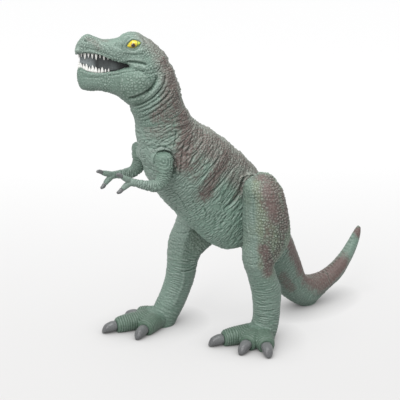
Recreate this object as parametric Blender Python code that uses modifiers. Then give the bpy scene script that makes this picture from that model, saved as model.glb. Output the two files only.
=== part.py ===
"""Toy dinosaur figure: a hollow soft-vinyl tyrannosaur with plug-in head, arms, legs and tail.

The figure faces -X and stands on Z = 0, on both feet and on the bend of its tail.
The origin is on the floor under the middle of the figure. All lengths are in metres.
"""
import math

import bmesh
import bpy
import numpy as np
from mathutils import Matrix, Vector

# Torso
HIP_HEIGHT = 0.150
HIP_AHEAD_OF_ORIGIN = 0.0108
TORSO_LENGTH = 0.1145
TORSO_RISE = 0.134
TORSO_WIDTH = 0.072
TAIL_JOINT_BEHIND_HIP = 0.028
TAIL_JOINT_BELOW_HIP = 0.043
MIDDLE_PLANE_ASIDE = 0.0084

# Moulded skin and plug joints
SKIN_WALL = 0.0026
SEAM_WALL = 0.0030
SEAT_GAP = 0.0003
STEM_CLEARANCE = 0.0005
FLANGE_THICKNESS = 0.0018
FLANGE_LIP = 0.0018
FLANGE_CHAMFER = 0.0007
STEM_ROOT = 0.0015
CUT_OVERRUN = 0.050
HOLE_REACH = 0.0090
TRIM_REACH = 0.300
SKIN_FOLD = 0.0008

# Neck and head
NECK_JOINT_DEPTH = 0.0500
NECK_JOINT_WIDTH = 0.0480
NECK_JOINT_TILT = math.radians(70)
NECK_STEM_RADIUS = 0.0130
NECK_BORE_RADIUS = 0.0090
NECK_PIVOT_AHEAD = 0.0095
HEAD_TURN = math.radians(30)
HEAD_LENGTH = 0.0705
HEAD_RISE = 0.0790
HEAD_WIDTH = 0.0460

# Mouth, teeth and eyes
JAW_WIDTH = 0.0440
MOUTH_WIDTH = 0.0210
MOUTH_REACH = 0.0430
MOUTH_RECESS = 0.0030
MOUTH_CORE_SETBACK = 0.0012
TOOTH_LENGTH = 0.0052
TOOTH_BAND_HEIGHT = 0.0022
TOOTH_BAND_THICKNESS = 0.0018
TOOTH_TIP_THICKNESS = 0.0004
UPPER_TEETH = 18
LOWER_TEETH = 22
TEETH_REAR_ANGLE = math.radians(14)
MOUTH_POWER = 2.3
MOUTH_STEPS = 12
MOUTH_REAR_ANGLE = math.radians(6)
MOUTH_FRONT_ANGLE = math.radians(85)
CORE_FRONT_ANGLE = math.radians(75)
PATH_SAMPLES = 200
EYE_LENGTH = 0.0145
EYE_HEIGHT = 0.0096
EYE_DEPTH = 0.0095

# Arms
SHOULDER_BELOW_NECK = 0.0390
SHOULDER_AHEAD_OF_NECK = 0.0085
SHOULDER_PLANE = 0.0180
SHOULDER_RECESS_RADIUS = 0.0138
SHOULDER_BOSS_RADIUS = 0.0095
SHOULDER_STEM_RADIUS = 0.0042
ARM_REACH = 0.0378
ARM_DROP = 0.0215
ARM_RADIUS = 0.0084
ARM_OUTWARD = 0.0062
ELBOW_OUTWARD = 0.0060
RIGHT_ARM_SWIVEL = math.radians(-12)
FINGER_REACH = 0.0075
FINGER_SPREAD = 0.0060
FINGER_RADIUS = 0.0026
HAND_CLAW_LENGTH = 0.0060

# Legs
HIP_PLANE = 0.0258
HIP_BOSS_RADIUS = 0.0250
HIP_RECESS_RADIUS = 0.0330
HIP_STEM_RADIUS = 0.0095
HIP_BORE_RADIUS = 0.0060
LEG_OFFSET = 0.0435
LEG_WIDTH = 0.0500
LEG_DEPTH = 0.0460
LEFT_FOOT_BACK = 0.0130
RIGHT_FOOT_STRIDE = 0.0665
ANKLE_SOLID_HEIGHT = 0.0300
FOOT_HEIGHT = 0.0230
TOE_LENGTH = 0.0440
TOE_WIDTH = 0.0220
TOE_CLAW_LENGTH = 0.0150
SOLE_CUT = 0.0020

# Tail
TAIL_JOINT_DEPTH = 0.0570
TAIL_JOINT_WIDTH = 0.0460
TAIL_JOINT_TILT = math.radians(51.5)
TAIL_STEM_RADIUS = 0.0120
TAIL_BORE_RADIUS = 0.0080
TAIL_REACH = 0.1490
TAIL_SWAY = 0.0100

# Facets
TORSO_SEGMENTS = 24
HEAD_SEGMENTS = 22
LIMB_SEGMENTS = 18
TOE_SEGMENTS = 16
ARM_SEGMENTS = 14
SMALL_SEGMENTS = 8
CAVITY_SEGMENTS = 12
ROUND_STEPS = 24
HOLE_STEPS = 22
HOLE_TWIST = math.radians(3)
MERGE_DISTANCE = 0.00001
SHARP_ANGLE = math.radians(50)
NECK_HOLLOW_ROWS = 4
NECK_FOLD_ROWS = 4
TAIL_HOLLOW_ROWS = 5

# Finishes
SKIN_COLOUR = (0.165, 0.255, 0.215)
SKIN_ROUGHNESS = 0.5
CLAW_COLOUR = (0.09, 0.10, 0.11)
CLAW_ROUGHNESS = 0.35
TOOTH_COLOUR = (0.80, 0.80, 0.74)
TOOTH_ROUGHNESS = 0.35
MOUTH_COLOUR = (0.015, 0.015, 0.018)
MOUTH_ROUGHNESS = 0.6
EYE_COLOUR = (0.75, 0.68, 0.10)
EYE_ROUGHNESS = 0.2

# Torso sections from tail to neck: back ahead, back rise, belly ahead, belly rise, width
TORSO_shares = (
    (0.008, 0.448, 0.437, -0.105, 0.715),
    (0.205, 0.634, 0.786, 0.165, 0.790),
    (0.461, 0.814, 1.062, 0.459, 0.890),
    (0.676, 0.934, 1.180, 0.705, 0.740),
)

# Neck and upper head: top ahead, top rise, underside ahead, underside rise, width, turn, underside squareness
HEAD_shares = (
    (-0.386, 0.367, 0.270, 0.063, 1.02, 0.50, 0.0),
    (-0.310, 0.570, 0.326, 0.266, 0.98, 0.85, 0.0),
    (-0.209, 0.736, 0.312, 0.443, 0.93, 1.00, 0.0),
    (-0.043, 0.886, 0.284, 0.570, 0.86, 1.00, 0.3),
    (0.142, 0.981, 0.270, 0.639, 0.80, 1.00, 0.7),
    (0.284, 0.994, 0.355, 0.665, 0.73, 1.00, 1.0),
    (0.440, 0.937, 0.539, 0.732, 0.62, 1.00, 1.0),
    (0.638, 0.924, 0.681, 0.772, 0.54, 1.00, 1.0),
    (0.820, 0.982, 0.830, 0.788, 0.47, 1.00, 1.0),
    (0.918, 0.935, 0.915, 0.776, 0.38, 1.00, 1.0),
    (0.988, 0.842, 0.985, 0.762, 0.22, 1.00, 1.0),
)

# Lower jaw: lip ahead, lip rise, chin ahead, chin rise, width
JAW_shares = (
    (-0.100, 0.500, 0.040, 0.240, 0.80),
    (-0.040, 0.560, 0.120, 0.160, 1.06),
    (0.130, 0.610, 0.235, 0.118, 1.10),
    (0.298, 0.614, 0.369, 0.203, 0.94),
    (0.425, 0.580, 0.454, 0.257, 0.74),
    (0.539, 0.557, 0.553, 0.285, 0.58),
    (0.681, 0.544, 0.681, 0.310, 0.50),
    (0.823, 0.557, 0.837, 0.309, 0.43),
    (0.922, 0.595, 0.936, 0.335, 0.32),
    (0.972, 0.557, 0.979, 0.430, 0.17),
)

# Mouth: ahead, upper lip rise, lower lip rise
MOUTH_shares = (
    (0.240, 0.622, 0.618),
    (0.355, 0.660, 0.600),
    (0.539, 0.732, 0.560),
    (0.681, 0.772, 0.544),
    (0.823, 0.789, 0.557),
    (0.930, 0.785, 0.590),
)
MOUTH_REAR_share = 0.340

# Slanted front of the dark web: ahead, floor rise
CORE_FLOOR_shares = (
    (0.240, 0.450),
    (0.700, 0.500),
    (0.780, 0.575),
    (0.900, 0.640),
)
REAR_TOOTH_share = 0.45
TRIM_FLOOR_share = 0.40
EYE_AHEAD_share = 0.204
EYE_RISE_share = 0.884
EYE_SIDE_share = 0.575
EYE_POWER = 1.4
SHOULDER_FLARE = 1.0

# Arm from shoulder to palm: ahead, rise, outward, radius
ARM_shares = (
    (0.00, 0.37, 0.00, 0.42),
    (0.00, 0.19, 0.00, 0.92),
    (0.01, -0.14, 0.10, 1.00),
    (0.07, -0.55, 0.55, 0.84),
    (0.19, -0.90, 0.95, 0.72),
    (0.37, -1.00, 1.00, 0.63),
    (0.62, -0.90, 0.80, 0.51),
    (0.82, -0.78, 0.50, 0.42),
    (0.94, -0.72, 0.30, 0.44),
    (1.00, -0.69, 0.20, 0.34),
)

# Finger: reach, spread, radius
FINGER_shares = (
    (-0.23, 0.12, 0.90),
    (0.45, 0.55, 0.95),
    (1.00, 1.00, 0.75),
)

# Hand claw: reach, hook, radius
HAND_CLAW_shares = (
    (0.00, 0.00, 0.66),
    (0.50, 0.06, 0.52),
    (0.85, -0.04, 0.28),
    (1.00, -0.12, 0.10),
)

# Standing leg: front rise, back rise, distance behind the hip, depth, width, offset
LEFT_LEG_shares = (
    (1.190, 1.180, 0.74, 0.300, 0.32, 0.93),
    (1.127, 1.087, 0.50, 0.770, 0.80, 0.98),
    (1.013, 0.973, 0.60, 0.863, 1.00, 1.00),
    (0.867, 0.840, 0.74, 0.970, 1.04, 1.01),
    (0.747, 0.720, 0.79, 1.005, 0.92, 1.01),
    (0.647, 0.627, 0.42, 0.857, 0.78, 1.00),
    (0.573, 0.560, 0.12, 0.660, 0.68, 1.00),
    (0.467, 0.480, 0.46, 0.610, 0.66, 1.00),
    (0.360, 0.373, 0.88, 0.650, 0.63, 1.00),
    (0.240, 0.240, 1.00, 0.600, 0.59, 1.00),
    (0.140, 0.133, 0.96, 0.565, 0.58, 1.00),
    (0.053, 0.040, 0.62, 0.610, 0.60, 1.00),
    (-0.013, -0.013, 0.46, 0.565, 0.58, 1.00),
)

# Striding leg: front rise, back rise, distance ahead of the hip, depth, width, offset
RIGHT_LEG_shares = (
    (1.207, 1.200, -0.030, 0.30, 0.32, 0.93),
    (1.120, 1.090, 0.015, 0.87, 0.80, 0.98),
    (1.000, 0.960, 0.075, 1.00, 1.00, 1.00),
    (0.867, 0.780, 0.140, 1.11, 1.02, 1.00),
    (0.733, 0.607, 0.280, 1.11, 0.90, 0.98),
    (0.633, 0.525, 0.475, 0.90, 0.76, 0.97),
    (0.520, 0.467, 0.580, 0.74, 0.67, 0.96),
    (0.413, 0.373, 0.620, 0.68, 0.63, 0.95),
    (0.307, 0.280, 0.670, 0.67, 0.60, 0.95),
    (0.213, 0.187, 0.760, 0.65, 0.60, 0.95),
    (0.133, 0.093, 0.865, 0.63, 0.60, 0.95),
    (0.053, 0.027, 0.960, 0.61, 0.60, 0.95),
    (-0.013, -0.013, 1.000, 0.57, 0.58, 0.95),
)

# Toe: distance, top, width
TOE_shares = (
    (0.00, 0.80, 1.05),
    (0.35, 0.75, 1.00),
    (0.70, 0.72, 0.92),
    (0.93, 0.65, 0.80),
    (1.00, 0.55, 0.64),
)

# Toe claw: distance, top, bottom, width
TOE_CLAW_shares = (
    (0.00, 0.50, 0.08, 0.52),
    (0.35, 0.47, 0.04, 0.44),
    (0.75, 0.30, 0.02, 0.26),
    (1.00, 0.08, 0.02, 0.07),
)

# Toes of each foot: name, turn from straight ahead to the left in degrees, length
LEFT_TOES_shares = (("inner", -9.0, 0.97), ("middle", 31.0, 0.72), ("outer", 67.0, 0.75))
RIGHT_TOES_shares = (("middle", -6.0, 1.18), ("inner", 31.0, 0.79), ("outer", -44.0, 0.62))

# Tail: top behind, top rise, underside behind, underside rise, width, sway
TAIL_shares = (
    (0.268, 0.870, 0.000, 0.630, 0.93, 0.00),
    (0.362, 0.577, 0.121, 0.405, 0.80, 0.05),
    (0.427, 0.375, 0.244, 0.179, 0.71, 0.20),
    (0.487, 0.317, 0.426, -0.006, 0.67, 0.40),
    (0.567, 0.299, 0.547, -0.010, 0.62, 0.50),
    (0.658, 0.313, 0.671, 0.080, 0.53, 0.60),
    (0.750, 0.375, 0.812, 0.183, 0.45, 0.70),
    (0.836, 0.470, 0.903, 0.326, 0.38, 0.80),
    (0.902, 0.580, 0.972, 0.462, 0.30, 0.90),
    (0.955, 0.690, 1.016, 0.600, 0.20, 0.95),
    (0.985, 0.735, 1.022, 0.690, 0.10, 1.00),
)

ROUND = 2.15
SQUARE = 6.0
BOX = 80.0
UP = Vector((0, 0, 1))
LEFT_SIDE = -1
RIGHT_SIDE = 1

# Joint places on the middle plane
HIP_X = -HIP_AHEAD_OF_ORIGIN
TAIL_JOINT = Vector((HIP_X + TAIL_JOINT_BEHIND_HIP, 0, HIP_HEIGHT - TAIL_JOINT_BELOW_HIP))
NECK_JOINT = TAIL_JOINT + Vector((-TORSO_LENGTH, 0, TORSO_RISE))
SHOULDER = NECK_JOINT + Vector((-SHOULDER_AHEAD_OF_NECK, 0, -SHOULDER_BELOW_NECK))
HIP = Vector((HIP_X, 0, HIP_HEIGHT))
NECK_AXIS = Vector((-math.cos(NECK_JOINT_TILT), 0, math.sin(NECK_JOINT_TILT)))
NECK_BACK = Vector((math.sin(NECK_JOINT_TILT), 0, math.cos(NECK_JOINT_TILT)))
TAIL_AXIS = Vector((math.cos(TAIL_JOINT_TILT), 0, -math.sin(TAIL_JOINT_TILT)))
TAIL_BACK = Vector((math.sin(TAIL_JOINT_TILT), 0, math.cos(TAIL_JOINT_TILT)))
ACROSS = Vector((0, 1, 0))

# Flat round seats across the torso: name, centre, half length, radius
BOSSES = (
    ("hip_boss", HIP, HIP_PLANE, HIP_BOSS_RADIUS),
    ("shoulder_boss", SHOULDER, SHOULDER_PLANE, SHOULDER_BOSS_RADIUS),
)


def clear_scene():
    """Remove what the file opened with."""
    for item in list(bpy.data.objects):
        bpy.data.objects.remove(item, do_unlink=True)


clear_scene()
figure = bpy.data.collections.new("toy_dinosaur_figure")
cutters = bpy.data.collections.new("toy_dinosaur_cutters")
bpy.context.scene.collection.children.link(figure)
bpy.context.scene.collection.children.link(cutters)


def ahead_direction(turn):
    """Floor direction that is turned from straight ahead towards the figure's right."""
    return Vector((-math.cos(turn), math.sin(turn), 0))


def right_direction(turn):
    """Floor direction square to ahead_direction, on the figure's right."""
    return Vector((math.sin(turn), math.cos(turn), 0))


def section(top, bottom, side, half_width, top_power=ROUND, bottom_power=ROUND):
    """One cross-section of a loft, held between its top and bottom points."""
    return np.array([*top, *bottom, *side, half_width, top_power, bottom_power], dtype=float)


def moved(row, shift):
    """The section shifted as a whole."""
    copy = row.copy()
    copy[0:3] += shift
    copy[3:6] += shift
    return copy


def smooth(rows, steps):
    """Sections along a Catmull-Rom curve through the hand-placed ones."""
    rows = np.array(rows)
    padded = np.vstack([2 * rows[0] - rows[1], rows, 2 * rows[-1] - rows[-2]])
    result = []
    for i in range(len(rows) - 1):
        a, b, c, d = padded[i:i + 4]
        for k in range(steps):
            t = k / steps
            value = b + 0.5 * t * (c - a + t * (2 * a - 5 * b + 4 * c - d + t * (3 * (b - c) + d - a)))
            result.append(value)
    result.append(rows[-1])
    return result


def folded(rows, steps):
    """Smoothed sections with every second one drawn in, so that the skin lies in folds."""
    rows = smooth(rows, steps)
    for row in rows[1:-1:2]:
        lift = Vector(row[0:3] - row[3:6]).normalized() * SKIN_FOLD
        row[0:3] -= lift
        row[3:6] += lift
        row[9] -= SKIN_FOLD
    return rows


def ring_points(row, segments, inset):
    """Points round one section, drawn in by the inset."""
    top, bottom, side = Vector(row[0:3]), Vector(row[3:6]), Vector(row[6:9]).normalized()
    centre = (top + bottom) / 2
    lift = (top - bottom) / 2
    height = max(lift.length - inset, inset / 4)
    width = max(row[9] - inset, inset / 4)
    lift.normalize()
    points = []
    for k in range(segments):
        angle = 2 * math.pi * (k + 0.5) / segments
        power = row[10] if math.sin(angle) > 0 else row[11]
        across = math.copysign(abs(math.cos(angle)) ** (2 / power), math.cos(angle))
        along = math.copysign(abs(math.sin(angle)) ** (2 / power), math.sin(angle))
        points.append(centre + side * (width * across) + lift * (height * along))
    return points


def mesh_object(name, mesh, collection):
    """Object that holds a mesh, in one collection."""
    item = bpy.data.objects.new(name, mesh)
    collection.objects.link(item)
    if collection is cutters:
        item.hide_render = True
        item.display_type = "WIRE"
    return item


def loft(name, rows, segments, steps, collection, inset=0.0):
    """Closed solid through a row of sections, with flat ends."""
    body = bmesh.new()
    rings = [[body.verts.new(p) for p in ring_points(row, segments, inset)] for row in smooth(rows, steps)]
    for first, second in zip(rings, rings[1:]):
        for k in range(segments):
            n = (k + 1) % segments
            body.faces.new((first[k], first[n], second[n], second[k]))
    body.faces.new(rings[0])
    body.faces.new(rings[-1])
    bmesh.ops.recalc_face_normals(body, faces=body.faces)
    mesh = bpy.data.meshes.new(name)
    body.to_mesh(mesh)
    body.free()
    mesh.shade_smooth()
    mesh.set_sharp_from_angle(angle=SHARP_ANGLE)
    return mesh_object(name, mesh, collection)


def frame_along(origin, axis):
    """Matrix whose Z runs along the axis."""
    return Matrix.Translation(origin) @ axis.to_track_quat("Z", "Y").to_matrix().to_4x4()


def cylinder(name, origin, axis, start, end, radius, segments=HOLE_STEPS, flare=0.0):
    """Round form on an axis, from start to end along it, wider at its end by a share of its length."""
    body = bmesh.new()
    length = end - start
    bmesh.ops.create_cone(body, cap_ends=True, segments=segments, radius1=radius,
                          radius2=radius + flare * length, depth=length)
    bmesh.ops.rotate(body, verts=body.verts, matrix=Matrix.Rotation(HOLE_TWIST, 3, "Z"))
    bmesh.ops.translate(body, verts=body.verts, vec=Vector((0, 0, (start + end) / 2)))
    mesh = bpy.data.meshes.new(name)
    body.to_mesh(mesh)
    body.free()
    item = mesh_object(name, mesh, cutters)
    item.matrix_world = frame_along(origin, axis)
    return item


def block(name, low, high):
    """Box cutter between two corners."""
    body = bmesh.new()
    bmesh.ops.create_cube(body, size=1)
    low, high = Vector(low), Vector(high)
    bmesh.ops.scale(body, verts=body.verts, vec=high - low)
    bmesh.ops.translate(body, verts=body.verts, vec=(low + high) / 2)
    mesh = bpy.data.meshes.new(name)
    body.to_mesh(mesh)
    body.free()
    return mesh_object(name, mesh, cutters)


def below_floor(name):
    """Box cutter for all that lies under the floor."""
    return block(name, (-TRIM_REACH, -TRIM_REACH, -TRIM_REACH), (TRIM_REACH, TRIM_REACH, 0))


def boolean(item, other, operation):
    """Boolean modifier with the exact solver."""
    step = item.modifiers.new(other.name, "BOOLEAN")
    step.operation = operation
    step.solver = "EXACT"
    step.object = other


def join(item, other):
    """Fuse another solid to the item."""
    boolean(item, other, "UNION")


def cut(item, other):
    """Take another solid out of the item."""
    boolean(item, other, "DIFFERENCE")


def plug(name, origin, axis, stem_radius):
    """Snap plug of a limb: a turned stem and flange that point back along the axis."""
    neck = -(SEAT_GAP / 2 + SEAM_WALL + SEAT_GAP)
    tip = neck - FLANGE_THICKNESS
    rim = stem_radius + FLANGE_LIP
    profile = [(0, STEM_ROOT), (stem_radius, STEM_ROOT), (stem_radius, neck), (rim, neck),
               (rim, tip + FLANGE_CHAMFER), (rim - FLANGE_CHAMFER, tip), (0, tip)]
    mesh = bpy.data.meshes.new(name)
    edges = [(i, i + 1) for i in range(len(profile) - 1)]
    mesh.from_pydata([(radius, 0, height) for radius, height in profile], edges, [])
    item = mesh_object(name, mesh, cutters)
    turn = item.modifiers.new("turned", "SCREW")
    turn.steps = ROUND_STEPS
    turn.render_steps = ROUND_STEPS
    turn.use_merge_vertices = True
    turn.merge_threshold = MERGE_DISTANCE
    item.matrix_world = frame_along(origin, axis)
    return item


def add_plug(limb, name, origin, axis, stem_radius, bore_radius):
    """Fuse a plug to a limb and open its bore into the limb's hollow."""
    join(limb, plug(name, origin, axis, stem_radius))
    if bore_radius > 0:
        cut(limb, cylinder(name + "_bore", origin, axis, -HOLE_REACH, HOLE_REACH, bore_radius))


def vinyl(name, colour, roughness):
    """Plain material for one piece."""
    material = bpy.data.materials.new(name)
    material.use_nodes = True
    shader = material.node_tree.nodes["Principled BSDF"]
    shader.inputs["Base Color"].default_value = (*colour, 1)
    shader.inputs["Roughness"].default_value = roughness
    shader.inputs["Metallic"].default_value = 0
    return material


def finish(item, colour, roughness):
    """Give a piece its own plain material."""
    item.data.materials.append(vinyl(item.name + "_vinyl", colour, roughness))


def pivot(item, place):
    """Put the origin of a moving piece on its joint axis."""
    item.data.transform(Matrix.Translation(-place))
    item.location = place


def hang(item, holder_name):
    """Let a fixed piece ride on the piece that carries it."""
    holder = figure.objects[holder_name]
    item.parent = holder
    item.matrix_parent_inverse = Matrix.Translation(-holder.location)


def seat(row_centre, axis, back, depth, width, offset):
    """End section of a moulding at a joint plane."""
    centre = row_centre + axis * offset
    return section(centre + back * (depth / 2), centre - back * (depth / 2), ACROSS, width / 2)


def torso_sections():
    """Torso sections from the tail seat to the neck seat."""
    rows = [seat(TAIL_JOINT, TAIL_AXIS, TAIL_BACK, TAIL_JOINT_DEPTH, TAIL_JOINT_WIDTH, -SEAT_GAP / 2)]
    for back_ahead, back_rise, belly_ahead, belly_rise, width in TORSO_shares:
        top = TAIL_JOINT + Vector((-back_ahead * TORSO_LENGTH, 0, back_rise * TORSO_RISE))
        bottom = TAIL_JOINT + Vector((-belly_ahead * TORSO_LENGTH, 0, belly_rise * TORSO_RISE))
        rows.append(section(top, bottom, ACROSS, width * TORSO_WIDTH / 2))
    rows.append(seat(NECK_JOINT, NECK_AXIS, NECK_BACK, NECK_JOINT_DEPTH, NECK_JOINT_WIDTH, -SEAT_GAP / 2))
    return rows


def side_pads(name, centre, plane, radius, flare=0.0):
    """Round blocks that start at a side plane and run outwards on both sides."""
    pads = []
    for side in (LEFT_SIDE, RIGHT_SIDE):
        start = Vector((centre.x, side * plane, centre.z))
        pads.append(cylinder(f"{name}_{side}", start, ACROSS * side, 0, CUT_OVERRUN, radius, HOLE_STEPS, flare))
    return pads


def torso_shell():
    """Hollow trunk with a flat seat and a hole for each plug."""
    rows = torso_sections()
    shell = loft("torso_shell", folded(rows, 3), TORSO_SEGMENTS, 1, figure)
    rows[0] = moved(rows[0], -TAIL_AXIS * SEAM_WALL)
    rows[-1] = moved(rows[-1], -NECK_AXIS * SEAM_WALL)
    cavity = loft("torso_cavity", rows, CAVITY_SEGMENTS, 2, cutters, SKIN_WALL)
    for name, centre, plane, radius in BOSSES:
        reach = plane + SEAM_WALL
        join(shell, cylinder(name, centre, ACROSS, -reach, reach, radius, ROUND_STEPS))
        join(cavity, cylinder(name + "_hollow", centre, ACROSS, -reach, reach, radius - SKIN_WALL, ROUND_STEPS))
    hip_pad = HIP_RECESS_RADIUS + SKIN_WALL
    shoulder_pad = SHOULDER_RECESS_RADIUS + SKIN_WALL
    for pad in side_pads("hip_wall", HIP, HIP_PLANE - SEAM_WALL, hip_pad):
        cut(cavity, pad)
    for pad in side_pads("shoulder_wall", SHOULDER, SHOULDER_PLANE - SEAM_WALL, shoulder_pad, SHOULDER_FLARE):
        cut(cavity, pad)
    for pad in side_pads("hip_recess", HIP, HIP_PLANE, HIP_RECESS_RADIUS):
        cut(shell, pad)
    for pad in side_pads("shoulder_recess", SHOULDER, SHOULDER_PLANE, SHOULDER_RECESS_RADIUS, SHOULDER_FLARE):
        cut(shell, pad)
    cut(shell, cavity)
    holes = [("neck_hole", NECK_JOINT, NECK_AXIS, NECK_STEM_RADIUS),
             ("tail_hole", TAIL_JOINT, TAIL_AXIS, TAIL_STEM_RADIUS)]
    for side, word in ((LEFT_SIDE, "left"), (RIGHT_SIDE, "right")):
        hip = Vector((HIP.x, side * HIP_PLANE, HIP.z))
        shoulder = Vector((SHOULDER.x, side * SHOULDER_PLANE, SHOULDER.z))
        holes.append((word + "_hip_hole", hip, ACROSS * side, HIP_STEM_RADIUS))
        holes.append((word + "_shoulder_hole", shoulder, ACROSS * side, SHOULDER_STEM_RADIUS))
    for name, origin, axis, radius in holes:
        cut(shell, cylinder(name, origin, axis, -HOLE_REACH, HOLE_REACH, radius + STEM_CLEARANCE))
    finish(shell, SKIN_COLOUR, SKIN_ROUGHNESS)


def head_point(ahead_share, rise_share, turn, side=0.0):
    """Place in the head, from shares of its length and rise, and a distance to its right."""
    pivot = NECK_JOINT + Vector((-NECK_PIVOT_AHEAD, 0, 0))
    place = pivot + ahead_direction(turn) * (ahead_share * HEAD_LENGTH)
    return place + right_direction(turn) * side + UP * (rise_share * HEAD_RISE)


def head_sections():
    """Neck and upper head, from the neck seat to the snout."""
    rows = [seat(NECK_JOINT, NECK_AXIS, NECK_BACK, NECK_JOINT_DEPTH, NECK_JOINT_WIDTH, SEAT_GAP / 2)]
    for top_ahead, top_rise, low_ahead, low_rise, width, turn_share, square in HEAD_shares:
        turn = HEAD_TURN * turn_share
        top = head_point(top_ahead, top_rise, turn)
        bottom = head_point(low_ahead, low_rise, turn)
        power = ROUND + (SQUARE - ROUND) * square
        rows.append(section(top, bottom, right_direction(turn), width * HEAD_WIDTH / 2, ROUND, power))
    return rows


def jaw_sections():
    """Lower jaw, from inside the neck to the chin."""
    rows = []
    for top_ahead, top_rise, low_ahead, low_rise, width in JAW_shares:
        top = head_point(top_ahead, top_rise, HEAD_TURN)
        bottom = head_point(low_ahead, low_rise, HEAD_TURN)
        rows.append(section(top, bottom, right_direction(HEAD_TURN), width * JAW_WIDTH / 2, SQUARE, ROUND))
    return rows


def mouth_plan(angle, draw_in):
    """Ahead and side of the mouth's outline in plan, drawn in square to itself."""
    power = 2 / MOUTH_POWER
    start = MOUTH_REAR_share * HEAD_LENGTH
    sine, cosine = abs(math.sin(angle)), math.cos(angle)
    ahead = start + MOUTH_REACH * sine ** power
    side = MOUTH_WIDTH / 2 * math.copysign(abs(cosine) ** power, cosine)
    slope = Vector((MOUTH_WIDTH / 2 * sine, MOUTH_REACH * cosine)).normalized()
    return ahead - slope.x * draw_in, side - slope.y * draw_in


def mouth_rise(ahead, upper):
    """Rise of the mouth recess's roof or floor at a distance ahead of the head's pivot."""
    stations = [row[0] * HEAD_LENGTH for row in MOUTH_shares]
    lips = [row[1 if upper else 2] * HEAD_RISE for row in MOUTH_shares]
    lip = float(np.interp(ahead, stations, lips))
    return lip + MOUTH_RECESS if upper else lip - MOUTH_RECESS


def core_floor(ahead):
    """Lowest rise that the dark web may reach at a distance ahead of the head's pivot."""
    stations = [row[0] * HEAD_LENGTH for row in CORE_FLOOR_shares]
    return float(np.interp(ahead, stations, [row[1] * HEAD_RISE for row in CORE_FLOOR_shares]))


def mouth_box(name, collection, height_inset, width_inset, start, front_angle):
    """Box-sectioned solid that fills the mouth, drawn in from its roof, floor and sides."""
    stations = [(start, mouth_plan(0, width_inset)[1])]
    for angle in np.linspace(MOUTH_REAR_ANGLE, front_angle, MOUTH_STEPS):
        stations.append(mouth_plan(angle, width_inset))
    rows = []
    for ahead, side in stations:
        roof = (mouth_rise(ahead, True) - height_inset) / HEAD_RISE
        floor = mouth_rise(ahead, False) + height_inset
        if collection is figure:
            floor = max(floor, core_floor(ahead))
        top = head_point(ahead / HEAD_LENGTH, roof, HEAD_TURN)
        bottom = head_point(ahead / HEAD_LENGTH, floor / HEAD_RISE, HEAD_TURN)
        rows.append(section(top, bottom, right_direction(HEAD_TURN), side, BOX, BOX))
    return loft(name, rows, 4, 1, collection)


def eye_ball(name, side, growth, collection):
    """Almond-shaped ball in one eye socket."""
    body = bmesh.new()
    bmesh.ops.create_uvsphere(body, u_segments=SMALL_SEGMENTS * 2, v_segments=SMALL_SEGMENTS, radius=1)
    for vertex in body.verts:
        flat = Vector((vertex.co.y, vertex.co.z))
        corner = (abs(flat.x) ** EYE_POWER + abs(flat.y) ** EYE_POWER) ** (1 / EYE_POWER)
        if corner > 0:
            vertex.co.yz = flat * (flat.length / corner)
    size = Vector((EYE_DEPTH / 2 + growth, EYE_LENGTH / 2 + growth, EYE_HEIGHT / 2 + growth))
    bmesh.ops.scale(body, verts=body.verts, vec=size)
    mesh = bpy.data.meshes.new(name)
    body.to_mesh(mesh)
    body.free()
    mesh.shade_smooth()
    item = mesh_object(name, mesh, collection)
    offset = side * EYE_SIDE_share * HEAD_WIDTH / 2
    place = head_point(EYE_AHEAD_share, EYE_RISE_share, HEAD_TURN, offset)
    item.matrix_world = Matrix.Translation(place) @ Matrix.Rotation(math.pi / 2 - HEAD_TURN, 4, "Z")
    return item


def head_shell():
    """Neck, skull and fixed open jaws in one moulding, with the neck plug."""
    rows = head_sections()
    neck = folded(rows[:NECK_FOLD_ROWS], 2)
    shell = loft("head_shell", neck + smooth(rows[NECK_FOLD_ROWS - 1:], 2)[1:], HEAD_SEGMENTS, 1, figure)
    jaw = loft("lower_jaw_form", jaw_sections(), HEAD_SEGMENTS, 2, cutters)
    join(shell, jaw)
    hollow = rows[:NECK_HOLLOW_ROWS]
    hollow[0] = moved(hollow[0], NECK_AXIS * SEAM_WALL)
    cut(shell, loft("neck_cavity", hollow, CAVITY_SEGMENTS, 2, cutters, SKIN_WALL))
    add_plug(shell, "neck_plug", NECK_JOINT, NECK_AXIS, NECK_STEM_RADIUS, NECK_BORE_RADIUS)
    cut(shell, mouth_box("mouth_recess", cutters, 0, 0, MOUTH_shares[0][0] * HEAD_LENGTH, MOUTH_FRONT_ANGLE))
    for side, word in ((LEFT_SIDE, "left"), (RIGHT_SIDE, "right")):
        cut(shell, eye_ball(word + "_eye_socket", side, SEAT_GAP, cutters))
    finish(shell, SKIN_COLOUR, SKIN_ROUGHNESS)
    pivot(shell, NECK_JOINT)
    hang(shell, "torso_shell")


def mouth_core():
    """Dark web that closes the mouth between the jaws, set back behind the teeth."""
    side_room = SEAT_GAP * 2 + TOOTH_BAND_THICKNESS + MOUTH_CORE_SETBACK
    rear = MOUTH_shares[0][0] * HEAD_LENGTH + SEAT_GAP
    core = mouth_box("mouth_core", figure, SEAT_GAP, side_room, rear, CORE_FRONT_ANGLE)
    finish(core, MOUTH_COLOUR, MOUTH_ROUGHNESS)
    hang(core, "head_shell")


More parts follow.
